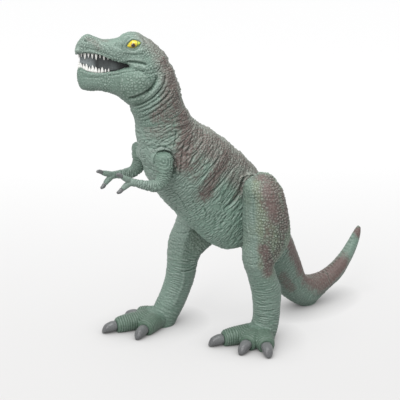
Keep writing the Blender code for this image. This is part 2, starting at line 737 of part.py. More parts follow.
def tooth_row(name, upper, teeth):
    """Saw-toothed strip that follows the inside of one lip."""
    path = [mouth_plan(angle, SEAT_GAP + TOOTH_BAND_THICKNESS / 2)
            for angle in np.linspace(TEETH_REAR_ANGLE, math.pi - TEETH_REAR_ANGLE, PATH_SAMPLES)]
    ahead, side = np.array(path).T
    length = np.concatenate([[0], np.cumsum(np.hypot(np.diff(ahead), np.diff(side)))])
    marks = np.linspace(0, length[-1], 2 * teeth + 1)
    ahead = np.interp(marks, length, ahead)
    side = np.interp(marks, length, side)
    body = bmesh.new()
    rings = []
    down = -1 if upper else 1
    for i in range(len(marks)):
        before, after = max(i - 1, 0), min(i + 1, len(marks) - 1)
        run = Vector((ahead[after] - ahead[before], side[after] - side[before])).normalized()
        outward = Vector((run.y, -run.x)) * (TOOTH_BAND_THICKNESS / 2)
        root = mouth_rise(ahead[i], upper) + down * SEAT_GAP * 2
        front = 1 - abs(2 * i / (len(marks) - 1) - 1)
        drop, pinch = TOOTH_BAND_HEIGHT, 1
        if i % 2:
            drop += TOOTH_LENGTH * (REAR_TOOTH_share + (1 - REAR_TOOTH_share) * min(2 * front, 1))
            pinch = TOOTH_TIP_THICKNESS / TOOTH_BAND_THICKNESS
        corners = []
        for way, level, squeeze in ((1, 0, 1), (1, drop, pinch), (-1, drop, pinch), (-1, 0, 1)):
            flat = Vector((ahead[i], side[i])) + outward * (way * squeeze)
            rise = (root + down * level) / HEAD_RISE
            corners.append(body.verts.new(head_point(flat.x / HEAD_LENGTH, rise, HEAD_TURN, flat.y)))
        rings.append(corners)
    for first, second in zip(rings, rings[1:]):
        for k in range(4):
            n = (k + 1) % 4
            body.faces.new((first[k], first[n], second[n], second[k]))
    body.faces.new(rings[0])
    body.faces.new(rings[-1])
    bmesh.ops.recalc_face_normals(body, faces=body.faces)
    mesh = bpy.data.meshes.new(name)
    body.to_mesh(mesh)
    body.free()
    item = mesh_object(name, mesh, figure)
    finish(item, TOOTH_COLOUR, TOOTH_ROUGHNESS)
    hang(item, "head_shell")


def eyes():
    """Two glossy eye inserts."""
    for side, word in ((LEFT_SIDE, "left"), (RIGHT_SIDE, "right")):
        eye = eye_ball(word + "_eye", side, 0.0, figure)
        finish(eye, EYE_COLOUR, EYE_ROUGHNESS)
        hang(eye, "head_shell")


def tube_sections(points, radii, side):
    """Round sections square to a path."""
    rows = []
    for i, (point, radius) in enumerate(zip(points, radii)):
        run = (points[min(i + 1, len(points) - 1)] - points[max(i - 1, 0)]).normalized()
        across = (side - run * side.dot(run)).normalized()
        lift = run.cross(across) * radius
        rows.append(section(point + lift, point - lift, across, radius))
    return rows


def arm_point(side, swivel, ahead, rise, outward):
    """Place on an arm, turned about its shoulder axis."""
    turned_ahead = ahead * math.cos(swivel) - rise * math.sin(swivel)
    turned_rise = ahead * math.sin(swivel) + rise * math.cos(swivel)
    return SHOULDER + Vector((-turned_ahead, side * (SHOULDER_PLANE + ARM_OUTWARD + outward), turned_rise))


def arm(word, side, swivel):
    """One bent arm with two fingers, their claws and the shoulder plug."""
    points = [arm_point(side, swivel, ahead * ARM_REACH, rise * ARM_DROP, outward * ELBOW_OUTWARD)
              for ahead, rise, outward, _ in ARM_shares]
    radii = [row[-1] * ARM_RADIUS for row in ARM_shares]
    limb = loft(word + "_arm", tube_sections(points, radii, ACROSS), ARM_SEGMENTS, 2, figure)
    claws = []
    palm_ahead = ARM_shares[-1][0] * ARM_REACH
    palm_rise = ARM_shares[-1][1] * ARM_DROP
    palm_outward = ARM_shares[-1][2] * ELBOW_OUTWARD
    for name, lean in (("upper", 1), ("lower", -1)):
        path = [arm_point(side, swivel, palm_ahead + reach * FINGER_REACH,
                          palm_rise + lean * spread * FINGER_SPREAD, palm_outward)
                for reach, spread, _ in FINGER_shares]
        radii = [share * FINGER_RADIUS for _, _, share in FINGER_shares]
        join(limb, loft(f"{word}_{name}_finger", tube_sections(path, radii, ACROSS), SMALL_SEGMENTS, 2, cutters))
        run = (path[-1] - path[-2]).normalized()
        hook = run.cross(ACROSS) * -lean
        claw = [path[-1] + run * (SEAT_GAP + reach * HAND_CLAW_LENGTH) + hook * (bend * HAND_CLAW_LENGTH)
                for reach, bend, _ in HAND_CLAW_shares]
        radii = [share * FINGER_RADIUS for _, _, share in HAND_CLAW_shares]
        item = loft(f"{word}_hand_{name}_claw", tube_sections(claw, radii, ACROSS), SMALL_SEGMENTS, 1, figure)
        finish(item, CLAW_COLOUR, CLAW_ROUGHNESS)
        claws.append(item)
    trim_to_side(limb, word + "_arm_trim", side, SHOULDER_PLANE + SEAT_GAP)
    shoulder = Vector((SHOULDER.x, side * (SHOULDER_PLANE + SEAT_GAP / 2), SHOULDER.z))
    add_plug(limb, word + "_shoulder_plug", shoulder, ACROSS * side, SHOULDER_STEM_RADIUS, 0)
    finish(limb, SKIN_COLOUR, SKIN_ROUGHNESS)
    pivot(limb, shoulder)
    hang(limb, "torso_shell")
    for item in claws:
        hang(item, limb.name)


def trim_to_side(limb, name, side, plane):
    """Cut the upper part of a limb flat where it seats on the torso's side."""
    inner, outer = sorted((0.0, side * plane))
    reach = HIP_HEIGHT * 2
    cut(limb, block(name, (-reach, inner, HIP_HEIGHT * TRIM_FLOOR_share), (reach, outer, reach)))


def leg_sections(rows, side, ahead_scale):
    """Leg sections from the top of the thigh to the sole."""
    result = []
    for front_rise, back_rise, ahead, depth, width, offset in rows:
        x = HIP_X - ahead * ahead_scale
        y = side * offset * LEG_OFFSET
        front = Vector((x - depth * LEG_DEPTH / 2, y, front_rise * HIP_HEIGHT))
        back = Vector((x + depth * LEG_DEPTH / 2, y, back_rise * HIP_HEIGHT))
        result.append(section(front, back, ACROSS, width * LEG_WIDTH / 2))
    return result


def toe_sections(ankle, heading, length):
    """Toe sections from the ankle to the flat end that carries the claw."""
    rows = []
    side = UP.cross(heading)
    for distance, top, width in TOE_shares:
        place = ankle + heading * (distance * length)
        rows.append(section(place + UP * (top * FOOT_HEIGHT), place - UP * SOLE_CUT, side, width * TOE_WIDTH / 2))
    return rows


def toe_claw(name, ankle, heading, length):
    """Curved claw seated on a toe's flat end."""
    rows = []
    side = UP.cross(heading)
    for distance, top, bottom, width in TOE_CLAW_shares:
        place = ankle + heading * (length + SEAT_GAP + distance * TOE_CLAW_LENGTH)
        high, low = place + UP * (top * FOOT_HEIGHT), place + UP * (bottom * FOOT_HEIGHT)
        rows.append(section(high, low, side, width * TOE_WIDTH / 2))
    claw = loft(name, rows, SMALL_SEGMENTS, 2, figure)
    finish(claw, CLAW_COLOUR, CLAW_ROUGHNESS)
    return claw


def leg(word, side, table, ahead_scale, toes):
    """One leg with three toes, the hip plug and a hollow above the ankle."""
    rows = leg_sections(table, side, ahead_scale)
    limb = loft(word + "_leg", rows, LIMB_SEGMENTS, 2, figure)
    ankle = Vector(((rows[-1][0] + rows[-1][3]) / 2, rows[-1][1], 0))
    claws = []
    for toe, turn, length_share in toes:
        heading = ahead_direction(-math.radians(turn))
        length = length_share * TOE_LENGTH
        name = f"{word}_{toe}_toe"
        join(limb, loft(name + "_form", toe_sections(ankle, heading, length), TOE_SEGMENTS, 1, cutters))
        claws.append(toe_claw(name + "_claw", ankle, heading, length))
    trim_to_side(limb, word + "_leg_trim", side, HIP_PLANE + SEAT_GAP)
    cut(limb, below_floor(word + "_sole_trim"))
    hollow = [row for row in rows[1:] if min(row[2], row[5]) > ANKLE_SOLID_HEIGHT]
    cavity = loft(word + "_leg_cavity", hollow, CAVITY_SEGMENTS, 1, cutters, SKIN_WALL)
    trim_to_side(cavity, word + "_leg_cavity_trim", side, HIP_PLANE + SEAT_GAP + SEAM_WALL)
    cut(limb, cavity)
    hip = Vector((HIP.x, side * (HIP_PLANE + SEAT_GAP / 2), HIP.z))
    add_plug(limb, word + "_hip_plug", hip, ACROSS * side, HIP_STEM_RADIUS, HIP_BORE_RADIUS)
    finish(limb, SKIN_COLOUR, SKIN_ROUGHNESS)
    pivot(limb, hip)
    hang(limb, "torso_shell")
    for claw in claws:
        hang(claw, limb.name)


def tail_sections():
    """Tail sections from its seat to the tip."""
    rows = [seat(TAIL_JOINT, TAIL_AXIS, TAIL_BACK, TAIL_JOINT_DEPTH, TAIL_JOINT_WIDTH, SEAT_GAP / 2)]
    for top_behind, top_rise, low_behind, low_rise, width, sway in TAIL_shares:
        y = sway * TAIL_SWAY
        top = Vector((TAIL_JOINT.x + top_behind * TAIL_REACH, y, top_rise * TAIL_JOINT.z))
        bottom = Vector((TAIL_JOINT.x + low_behind * TAIL_REACH, y, low_rise * TAIL_JOINT.z))
        rows.append(section(top, bottom, ACROSS, width * TAIL_JOINT_WIDTH / 2))
    return rows


def tail():
    """Hollow curled tail with its plug, flat where it rests."""
    rows = tail_sections()
    limb = loft("tail", rows, LIMB_SEGMENTS, 2, figure)
    hollow = rows[:TAIL_HOLLOW_ROWS]
    hollow[0] = moved(hollow[0], TAIL_AXIS * SEAM_WALL)
    cut(limb, loft("tail_cavity", hollow, CAVITY_SEGMENTS, 2, cutters, SKIN_WALL))
    cut(limb, below_floor("tail_rest_trim"))
    add_plug(limb, "tail_plug", TAIL_JOINT, TAIL_AXIS, TAIL_STEM_RADIUS, TAIL_BORE_RADIUS)
    finish(limb, SKIN_COLOUR, SKIN_ROUGHNESS)
    pivot(limb, TAIL_JOINT)
    hang(limb, "torso_shell")


def stand():
    """Put the middle of the figure's width over the origin."""
    for item in (*figure.objects, *cutters.objects):
        if item.parent is None:
            item.location.y += MIDDLE_PLANE_ASIDE


torso_shell()
head_shell()
mouth_core()
tooth_row("upper_teeth", True, UPPER_TEETH)
tooth_row("lower_teeth", False, LOWER_TEETH)
eyes()
arm("left", LEFT_SIDE, 0.0)
arm("right", RIGHT_SIDE, RIGHT_ARM_SWIVEL)
leg("left", LEFT_SIDE, LEFT_LEG_shares, -LEFT_FOOT_BACK, LEFT_TOES_shares)
leg("right", RIGHT_SIDE, RIGHT_LEG_shares, RIGHT_FOOT_STRIDE, RIGHT_TOES_shares)
tail()
stand()
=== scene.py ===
"""Toy dinosaur figure: sculpted vinyl skin, teeth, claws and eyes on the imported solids.

The figure faces -X and stands on Z = 0. Lengths are in metres unless a name ends in _mm.
"""

import math

import bmesh
import bpy
import numpy as np
from mathutils import Matrix, Vector
from mathutils.bvhtree import BVHTree


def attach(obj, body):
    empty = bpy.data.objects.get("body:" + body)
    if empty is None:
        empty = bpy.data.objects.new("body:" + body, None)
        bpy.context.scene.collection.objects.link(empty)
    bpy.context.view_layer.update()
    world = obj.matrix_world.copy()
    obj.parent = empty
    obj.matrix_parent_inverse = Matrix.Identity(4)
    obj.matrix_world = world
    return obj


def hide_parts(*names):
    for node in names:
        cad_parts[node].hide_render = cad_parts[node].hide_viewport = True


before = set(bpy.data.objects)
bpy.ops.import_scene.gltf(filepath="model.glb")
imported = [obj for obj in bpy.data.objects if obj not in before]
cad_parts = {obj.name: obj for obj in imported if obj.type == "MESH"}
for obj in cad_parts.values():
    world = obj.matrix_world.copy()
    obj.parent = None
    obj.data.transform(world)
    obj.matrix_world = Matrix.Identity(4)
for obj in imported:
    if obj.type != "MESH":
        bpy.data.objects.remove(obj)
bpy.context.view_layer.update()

MM = 0.001
CURVE_STEP = 0.6 * MM
STROKE_REACH, STAIN_REACH, SHORT_LINE = 3.2, 2.4, 4
FREE_MM = 9.0
UP = np.array((0.0, 0.0, 1.0))
ACROSS = np.array((0.0, 1.0, 0.0))
LEFT, RIGHT = -1, 1
SIDES = ((LEFT, "left"), (RIGHT, "right"))
ROUND, SQUARE = 2.15, 6.0

# Camera of the photograph
AZIMUTH, ELEVATION = math.radians(-30), math.radians(18)
CAMERA_DISTANCE = 0.95
CAMERA_TARGET = np.array((-0.0568, -0.007, 0.150))
LENS, SENSOR, FRAME_PX = 85.0, 36.0, 400.0

# Sizes of the figure
# The middle plane is Y = 0 while the pieces are made, and they move aside at the end
ASIDE = 0.0084
SEAT_GAP = 0.0003
SKIN_GAP = 0.0001
SKIN_FOLD = 0.0008
HIP_HEIGHT, HIP_X, HIP_PLANE = 0.150, -0.0108, 0.0258
HIP_RECESS, HIP_BOSS = 0.0330, 0.0250
TAIL_JOINT = np.array((0.0172, 0.0, 0.107))
TORSO_LENGTH, TORSO_RISE, TORSO_WIDTH = 0.1145, 0.134, 0.072
NECK_JOINT = TAIL_JOINT + np.array((-TORSO_LENGTH, 0, TORSO_RISE))
SHOULDER = NECK_JOINT + np.array((-0.0085, 0, -0.0390))
SHOULDER_PLANE, SHOULDER_RECESS, SHOULDER_BOSS = 0.0180, 0.0138, 0.0095
NARROW_RECESS, SOCKET_SLOPE, SOCKET_REACH, RIM_WIDTH = 0.0092, 5, 0.03, 0.003
HIP = np.array((HIP_X, 0.0, HIP_HEIGHT))
NECK_TILT, TAIL_TILT = math.radians(70), math.radians(51.5)
NECK_AXIS = np.array((-math.cos(NECK_TILT), 0, math.sin(NECK_TILT)))
NECK_BACK = np.array((math.sin(NECK_TILT), 0, math.cos(NECK_TILT)))
TAIL_AXIS = np.array((math.cos(TAIL_TILT), 0, -math.sin(TAIL_TILT)))
TAIL_BACK = np.array((math.sin(TAIL_TILT), 0, math.cos(TAIL_TILT)))
NECK_SEAT, TAIL_SEAT = (0.0500, 0.0480), (0.0570, 0.0460)
NECK_PIVOT_AHEAD = 0.0095
HEAD_TURN = math.radians(30)
HEAD_LENGTH, HEAD_RISE, HEAD_WIDTH, JAW_WIDTH = 0.0705, 0.0790, 0.0460, 0.0440
MOUTH_WIDTH, MOUTH_REACH, MOUTH_RECESS, MOUTH_POWER = 0.0210, 0.0446, 0.0030, 2.3
MOUTH_REAR = 0.340 * HEAD_LENGTH
UPPER_LIP_DROP, LOWER_LIP_LIFT = 0.015, 0.012
WEB_INSET = 0.0024
BAND_HEIGHT, BAND_HALF = 0.0018, 0.0008
EYE_SIZE, EYE_POWER = (0.0137, 0.0091, 0.0095), 1.4
EYE_TILT = math.radians(13)
EYE_OPENING = 0.72, 0.96
EYE_AHEAD, EYE_RISE, EYE_SIDE = 0.204 * HEAD_LENGTH, 0.884 * HEAD_RISE, 0.575 * HEAD_WIDTH / 2
ARM_REACH, ARM_DROP, ARM_RADIUS, ARM_OUTWARD, ELBOW_OUTWARD = 0.0378, 0.0215, 0.0084, 0.0062, 0.0060
RIGHT_ARM_SWIVEL = math.radians(-12)
FINGER_REACH, FINGER_SPREAD, FINGER_RADIUS, HAND_CLAW_LENGTH = 0.0075, 0.0060, 0.0030, 0.0060
LEG_OFFSET, LEG_WIDTH, LEG_DEPTH = 0.0435, 0.0500, 0.0460
LEFT_FOOT_BACK, RIGHT_FOOT_STRIDE = 0.0130, 0.0665
FOOT_HEIGHT, TOE_LENGTH, TOE_WIDTH, TOE_CLAW_LENGTH, SOLE_CUT = 0.0230, 0.0440, 0.0220, 0.0150, 0.0020
TAIL_REACH, TAIL_SWAY, TAIL_WIDTH = 0.1490, 0.0100, 0.0460

TORSO_ROWS = (
    (0.008, 0.448, 0.437, -0.105, 0.715),
    (0.205, 0.634, 0.786, 0.165, 0.790),
    (0.461, 0.814, 1.062, 0.459, 0.890),
    (0.676, 0.934, 1.180, 0.705, 0.740),
)
HEAD_ROWS = (
    (-0.386, 0.367, 0.270, 0.063, 1.02, 0.50, 0.0),
    (-0.310, 0.570, 0.326, 0.266, 0.98, 0.85, 0.0),
    (-0.209, 0.736, 0.312, 0.443, 0.93, 1.00, 0.0),
    (-0.043, 0.886, 0.284, 0.570, 0.86, 1.00, 0.3),
    (0.142, 0.981, 0.270, 0.639, 0.80, 1.00, 0.7),
    (0.284, 0.994, 0.355, 0.665, 0.73, 1.00, 1.0),
    (0.440, 0.937, 0.539, 0.732, 0.62, 1.00, 1.0),
    (0.638, 0.924, 0.681, 0.772, 0.54, 1.00, 1.0),
    (0.820, 0.982, 0.830, 0.788, 0.47, 1.00, 1.0),
    (0.918, 0.935, 0.915, 0.776, 0.38, 1.00, 1.0),
    (0.988, 0.842, 0.985, 0.762, 0.22, 1.00, 1.0),
)
JAW_ROWS = (
    (-0.100, 0.500, 0.040, 0.240, 0.80),
    (-0.040, 0.560, 0.120, 0.160, 1.06),
    (0.130, 0.610, 0.235, 0.118, 1.10),
    (0.298, 0.614, 0.369, 0.203, 0.94),
    (0.425, 0.580, 0.454, 0.257, 0.74),
    (0.539, 0.557, 0.553, 0.285, 0.58),
    (0.681, 0.544, 0.681, 0.310, 0.50),
    (0.823, 0.557, 0.837, 0.309, 0.43),
    (0.922, 0.595, 0.936, 0.335, 0.32),
    (0.972, 0.557, 0.979, 0.430, 0.17),
)
MOUTH_ROWS = (
    (0.240, 0.622, 0.618),
    (0.355, 0.660, 0.600),
    (0.539, 0.732, 0.560),
    (0.681, 0.772, 0.544),
    (0.823, 0.789, 0.557),
    (0.930, 0.785, 0.590),
)
WEB_FLOOR_ROWS = (
    (0.240, 0.450),
    (0.700, 0.500),
    (0.780, 0.575),
    (0.900, 0.640),
)
ARM_ROWS = (
    (0.00, 0.37, 0.00, 0.42),
    (0.00, 0.19, 0.00, 0.92),
    (0.01, -0.14, 0.10, 1.00),
    (0.07, -0.55, 0.55, 0.84),
    (0.19, -0.90, 0.95, 0.72),
    (0.37, -1.00, 1.00, 0.63),
    (0.62, -0.90, 0.80, 0.51),
    (0.82, -0.78, 0.50, 0.42),
    (0.94, -0.72, 0.30, 0.44),
    (1.00, -0.69, 0.20, 0.34),
)
FINGER_ROWS = ((-0.23, 0.12, 0.90), (0.45, 0.55, 0.95), (1.00, 1.00, 0.75))
HAND_CLAW_ROWS = ((0.00, 0.00, 0.70), (0.50, 0.06, 0.66), (0.85, -0.04, 0.48), (1.00, -0.12, 0.26))
LEFT_LEG_ROWS = (
    (1.190, 1.180, 0.74, 0.300, 0.32, 0.93),
    (1.127, 1.087, 0.50, 0.770, 0.80, 0.98),
    (1.013, 0.973, 0.60, 0.863, 1.00, 1.00),
    (0.867, 0.840, 0.74, 0.970, 1.04, 1.01),
    (0.747, 0.720, 0.79, 1.005, 0.92, 1.01),
    (0.647, 0.627, 0.42, 0.857, 0.78, 1.00),
    (0.573, 0.560, 0.12, 0.660, 0.68, 1.00),
    (0.467, 0.480, 0.46, 0.610, 0.66, 1.00),
    (0.360, 0.373, 0.88, 0.650, 0.63, 1.00),
    (0.240, 0.240, 1.00, 0.600, 0.59, 1.00),
    (0.140, 0.133, 0.96, 0.565, 0.58, 1.00),
    (0.053, 0.040, 0.62, 0.610, 0.60, 1.00),
    (-0.013, -0.013, 0.46, 0.565, 0.58, 1.00),
)
RIGHT_LEG_ROWS = (
    (1.207, 1.200, -0.030, 0.30, 0.32, 0.93),
    (1.120, 1.090, 0.015, 0.87, 0.80, 0.98),
    (1.000, 0.960, 0.075, 1.00, 1.00, 1.00),
    (0.867, 0.780, 0.140, 1.11, 1.02, 1.00),
    (0.733, 0.607, 0.280, 1.11, 0.90, 0.98),
    (0.633, 0.525, 0.475, 0.90, 0.76, 0.97),
    (0.520, 0.467, 0.580, 0.74, 0.67, 0.96),
    (0.413, 0.373, 0.620, 0.68, 0.63, 0.95),
    (0.307, 0.280, 0.670, 0.67, 0.60, 0.95),
    (0.213, 0.187, 0.760, 0.65, 0.60, 0.95),
    (0.133, 0.093, 0.865, 0.63, 0.60, 0.95),
    (0.053, 0.027, 0.960, 0.61, 0.60, 0.95),
    (-0.013, -0.013, 1.000, 0.57, 0.58, 0.95),
)
TOE_ROWS = ((0.00, 0.80, 1.05), (0.35, 0.75, 1.00), (0.70, 0.72, 0.92), (0.93, 0.65, 0.80), (1.00, 0.55, 0.64))
TOE_CLAW_ROWS = (
    (0.00, 0.50, 0.08, 0.52),
    (0.35, 0.50, 0.03, 0.50),
    (0.75, 0.40, 0.02, 0.41),
    (0.93, 0.25, 0.02, 0.27),
    (1.00, 0.14, 0.03, 0.15),
)
TOES = {
    "left": (("inner", -9.0, 0.97), ("middle", 31.0, 0.72), ("outer", 67.0, 0.75)),
    "right": (("middle", -6.0, 1.18), ("inner", 31.0, 0.79), ("outer", -44.0, 0.62)),
}
TAIL_ROWS = (
    (0.268, 0.870, 0.000, 0.630, 0.93, 0.00),
    (0.362, 0.577, 0.121, 0.405, 0.80, 0.05),
    (0.427, 0.375, 0.244, 0.179, 0.71, 0.20),
    (0.487, 0.317, 0.426, -0.006, 0.67, 0.40),
    (0.567, 0.299, 0.547, -0.010, 0.62, 0.50),
    (0.658, 0.313, 0.671, 0.080, 0.53, 0.60),
    (0.750, 0.375, 0.812, 0.183, 0.45, 0.70),
    (0.836, 0.470, 0.903, 0.326, 0.38, 0.80),
    (0.902, 0.580, 0.972, 0.462, 0.30, 0.90),
    (0.955, 0.690, 1.016, 0.600, 0.20, 0.95),
    (0.985, 0.735, 1.022, 0.690, 0.10, 1.00),
)


def unit(v):
    """The vector at length one."""
    v = np.asarray(v, float)
    return v / np.linalg.norm(v)


def section(top, bottom, side, half_width, top_power=ROUND, bottom_power=ROUND):
    """One cross-section of a loft."""
    return np.array([*top, *bottom, *side, half_width, top_power, bottom_power], float)


def spline(rows, steps_between):
    """Rows along a Catmull-Rom curve through the given ones."""
    rows = np.array(rows, float)
    padded = np.vstack([2 * rows[0] - rows[1], rows, 2 * rows[-1] - rows[-2]])
    result = []
    for a, b, c, d in zip(padded, padded[1:], padded[2:], padded[3:]):
        steps = steps_between(b, c)
        for t in np.arange(steps) / steps:
            result.append(b + 0.5 * t * (c - a + t * (2 * a - 5 * b + 4 * c - d + t * (3 * (b - c) + d - a))))
    return np.array(result + [rows[-1]])


def smooth(rows, steps):
    """Sections along a curve through the given ones."""
    return spline(rows, lambda b, c: steps)


def curve_through(points):
    """Evenly spaced places on a smooth curve through the given ones."""
    return spline(points, lambda b, c: max(int(np.linalg.norm(c - b) / CURVE_STEP), 1))


def folded(rows, steps):
    """Smoothed sections with every second one drawn in, so that the skin lies in folds."""
    rows = smooth(rows, steps)
    for row in rows[1:-1:2]:
        lift = unit(row[0:3] - row[3:6]) * SKIN_FOLD
        row[0:3] -= lift
        row[3:6] += lift
        row[9] -= SKIN_FOLD
    return rows


def bands(count, segments):
    """Faces between a number of rings of points."""
    faces = []
    for start in range(0, (count - 1) * segments, segments):
        for k in range(segments):
            n = (k + 1) % segments
            faces.append((start + k, start + segments + k, start + segments + n, start + n))
    return faces


def loft(rows, segments=72, steps=8):
    """Points and faces of a closed solid through sections."""
    rows = smooth(rows, steps)
    top, bottom = rows[:, None, 0:3], rows[:, None, 3:6]
    side = rows[:, 6:9] / np.linalg.norm(rows[:, 6:9], axis=1)[:, None]
    angle = 2 * math.pi * (np.arange(segments) + 0.5) / segments
    cosine, sine = np.cos(angle), np.sin(angle)
    power = np.where(sine > 0, rows[:, 10:11], rows[:, 11:12])
    across = np.sign(cosine) * np.abs(cosine) ** (2 / power)
    along = np.sign(sine) * np.abs(sine) ** (2 / power)
    points = (top + bottom) / 2 + side[:, None] * (rows[:, 9:10] * across)[..., None]
    points = points + (top - bottom) / 2 * along[..., None]
    last = (len(rows) - 1) * segments
    caps = [tuple(range(segments)), tuple(range(last, last + segments))[::-1]]
    return points.reshape(-1, 3), caps + bands(len(rows), segments)


def tube(points, radii, side):
    """Round sections square to a path."""
    rows = []
    for i, (point, radius) in enumerate(zip(points, radii)):
        run = unit(points[min(i + 1, len(points) - 1)] - points[max(i - 1, 0)])
        across = unit(side - run * side.dot(run))
        lift = np.cross(run, across) * radius
        rows.append(section(point + lift, point - lift, across, radius))
    return rows


def cylinder(origin, axis, start, end, radius, segments=64):
    """Points and faces of a round bar along an axis."""
    axis = unit(axis)
    helper = UP if abs(axis[2]) < 0.9 else ACROSS
    u = unit(np.cross(axis, helper))
    v = np.cross(axis, u)
    angle = 2 * math.pi * np.arange(segments) / segments
    ring = radius * (np.cos(angle)[:, None] * u + np.sin(angle)[:, None] * v)
    points = np.vstack([origin + axis * start + ring, origin + axis * end + ring])
    faces = [tuple(range(segments))[::-1], tuple(range(segments, 2 * segments))]
    for k in range(segments):
        n = (k + 1) % segments
        faces.append((k, n, segments + n, segments + k))
    return points, faces


def new_mesh(name, forms):
    """One mesh of several closed forms, faces outwards."""
    points, faces, start = [], [], 0
    for form_points, form_faces in forms:
        points.append(form_points)
        faces += [tuple(i + start for i in face) for face in form_faces]
        start += len(form_points)
    mesh = bpy.data.meshes.new(name)
    mesh.from_pydata(np.vstack(points).tolist(), [], faces)
    mesh.update()
    outwards(mesh)
    return mesh


def outwards(mesh, weld=0.0):
    """Join points that are closer than the weld, and turn all the faces of closed forms outwards."""
    body = bmesh.new()
    body.from_mesh(mesh)
    if weld:
        bmesh.ops.remove_doubles(body, verts=body.verts, dist=weld)
    bmesh.ops.recalc_face_normals(body, faces=body.faces)
    body.to_mesh(mesh)
    body.free()


def points_of(mesh):
    """Places of a mesh's points."""
    co = np.zeros(len(mesh.vertices) * 3)
    mesh.vertices.foreach_get("co", co)
    return co.reshape(-1, 3)


def placed(name, data):
    """New object in the scene."""
    item = bpy.data.objects.new(name, data)
    bpy.context.scene.collection.objects.link(item)
    return item


def fused(name, forms, cuts, voxel):
    """One even skin of small quads round all the forms, less the cuts."""
    item = placed(name, new_mesh(name, forms[:1]))
    helpers = []
    for operation, others in (("UNION", forms[1:]), ("DIFFERENCE", cuts)):
        for i, form in enumerate(others):
            label = f"{name}_{operation}_{i}"
            helpers.append(placed(label, new_mesh(label, [form])))
            step = item.modifiers.new(label, "BOOLEAN")
            step.operation, step.solver, step.object = operation, "EXACT", helpers[-1]
    grid = item.modifiers.new("grid", "REMESH")
    grid.mode, grid.voxel_size = "VOXEL", voxel
    bpy.context.view_layer.update()
    graph = bpy.context.evaluated_depsgraph_get()
    mesh = bpy.data.meshes.new_from_object(item.evaluated_get(graph), depsgraph=graph)
    for helper in [*helpers, item]:
        bpy.data.objects.remove(helper)
    mesh.name = name
    return mesh


def lattice(cell, seed):
    """Steady value from 0 to 1 for each whole-numbered cell."""
    n = (cell[..., 0] * 73856093) ^ (cell[..., 1] * 19349663) ^ (cell[..., 2] * 83492791) ^ (seed * 1000003)
    n = ((n ^ (n >> 13)) * 1274126177) & 0x7FFFFFFF
    n = n ^ (n >> 15)
    return (n & 0xFFFF) / 65535.0


def noise(points, size, seed=0):
    """Smooth noise from -1 to 1 with features of one size."""
    q = points / size
    base = np.floor(q).astype(np.int64)
    f = q - base
    f = f * f * (3 - 2 * f)
    total = np.zeros(len(points))
    for corner in range(8):
        bits = np.array((corner & 1, corner >> 1 & 1, corner >> 2 & 1))
        weight = np.prod(np.where(bits, f, 1 - f), axis=1)
        total += weight * lattice(base + bits, seed)
    return total * 2 - 1


def layered(points, size, seed=0):
    """Noise with two finer layers on it."""
    return (noise(points, size, seed) + 0.5 * noise(points, size / 2, seed + 1)
            + 0.25 * noise(points, size / 4, seed + 2)) / 1.75


def cells(points, size, seed=0, jitter=0.85):
    """Distance from the gap between pebbles, as a share of their size."""
    q = points / size
    base = np.floor(q).astype(np.int64)
    near = np.full(len(points), 9.0)
    second = np.full(len(points), 9.0)
    for i in (-1, 0, 1):
        for j in (-1, 0, 1):
            for k in (-1, 0, 1):
                cell = base + np.array((i, j, k))
                spot = np.stack([lattice(cell, seed + n) for n in range(3)], axis=1)
                d = np.linalg.norm(cell + 0.5 + jitter * (spot - 0.5) - q, axis=1)
                second = np.minimum(second, np.maximum(near, d))
                near = np.minimum(near, d)
    return second - near


def ease(value, low, high):
    """Smooth step from 0 at low to 1 at high."""
    t = np.clip((value - low) / (high - low), 0, 1)
    return t * t * (3 - 2 * t)


def pebbles(points, size, seed=0):
    """Pebbled leather: about -0.6 in the gaps and 0.4 on the pebbles."""
    return ease(cells(points, size, seed), 0.0, 0.42) - 0.6


class Spine:
    """Centreline of a limb, to measure along it and across it."""

    def __init__(self, rows, steps=10):
        rows = smooth(rows, steps)
        self.points = (rows[:, 0:3] + rows[:, 3:6]) / 2
        self.run = np.gradient(self.points, axis=0)
        self.run /= np.linalg.norm(self.run, axis=1)[:, None]
        side = rows[:, 6:9]
        side = side - self.run * np.sum(side * self.run, axis=1)[:, None]
        self.side = side / np.linalg.norm(side, axis=1)[:, None]
        self.up = np.cross(self.side, self.run)
        lift = rows[:, 0:3] - rows[:, 3:6]
        self.up *= np.sign(np.sum(self.up * lift, axis=1))[:, None]
        gaps = np.linalg.norm(np.diff(self.points, axis=0), axis=1)
        self.length = np.concatenate([[0], np.cumsum(gaps)])

    def measure(self, points):
        """Distance along, sideways and up from the centreline, in millimetres."""
        along, across, lift = [], [], []
        for start in range(0, len(points), 20000):
            part = points[start:start + 20000]
            d = np.linalg.norm(part[:, None] - self.points[None], axis=2)
            i = d.argmin(axis=1)
            offset = part - self.points[i]
            along.append(self.length[i] + np.sum(offset * self.run[i], axis=1))
            across.append(np.sum(offset * self.side[i], axis=1))
            lift.append(np.sum(offset * self.up[i], axis=1))
        return (np.concatenate(along) / MM, np.concatenate(across) / MM, np.concatenate(lift) / MM)


def rings(skin, pitch, run, seed, warp=0.45, gap=0.36):
    """Wrinkles and long scales that lie across a limb: -0.6 in the grooves, 0.4 on the ridges."""
    q = np.stack([skin.along / pitch, skin.across / run, skin.rise / run], axis=1)
    q[:, 0] += warp * noise(q * (0.35, 1.3, 1.3), 1.0, seed + 7)
    return ease(cells(q, 1.0, seed, 0.8), 0.0, gap) - 0.6


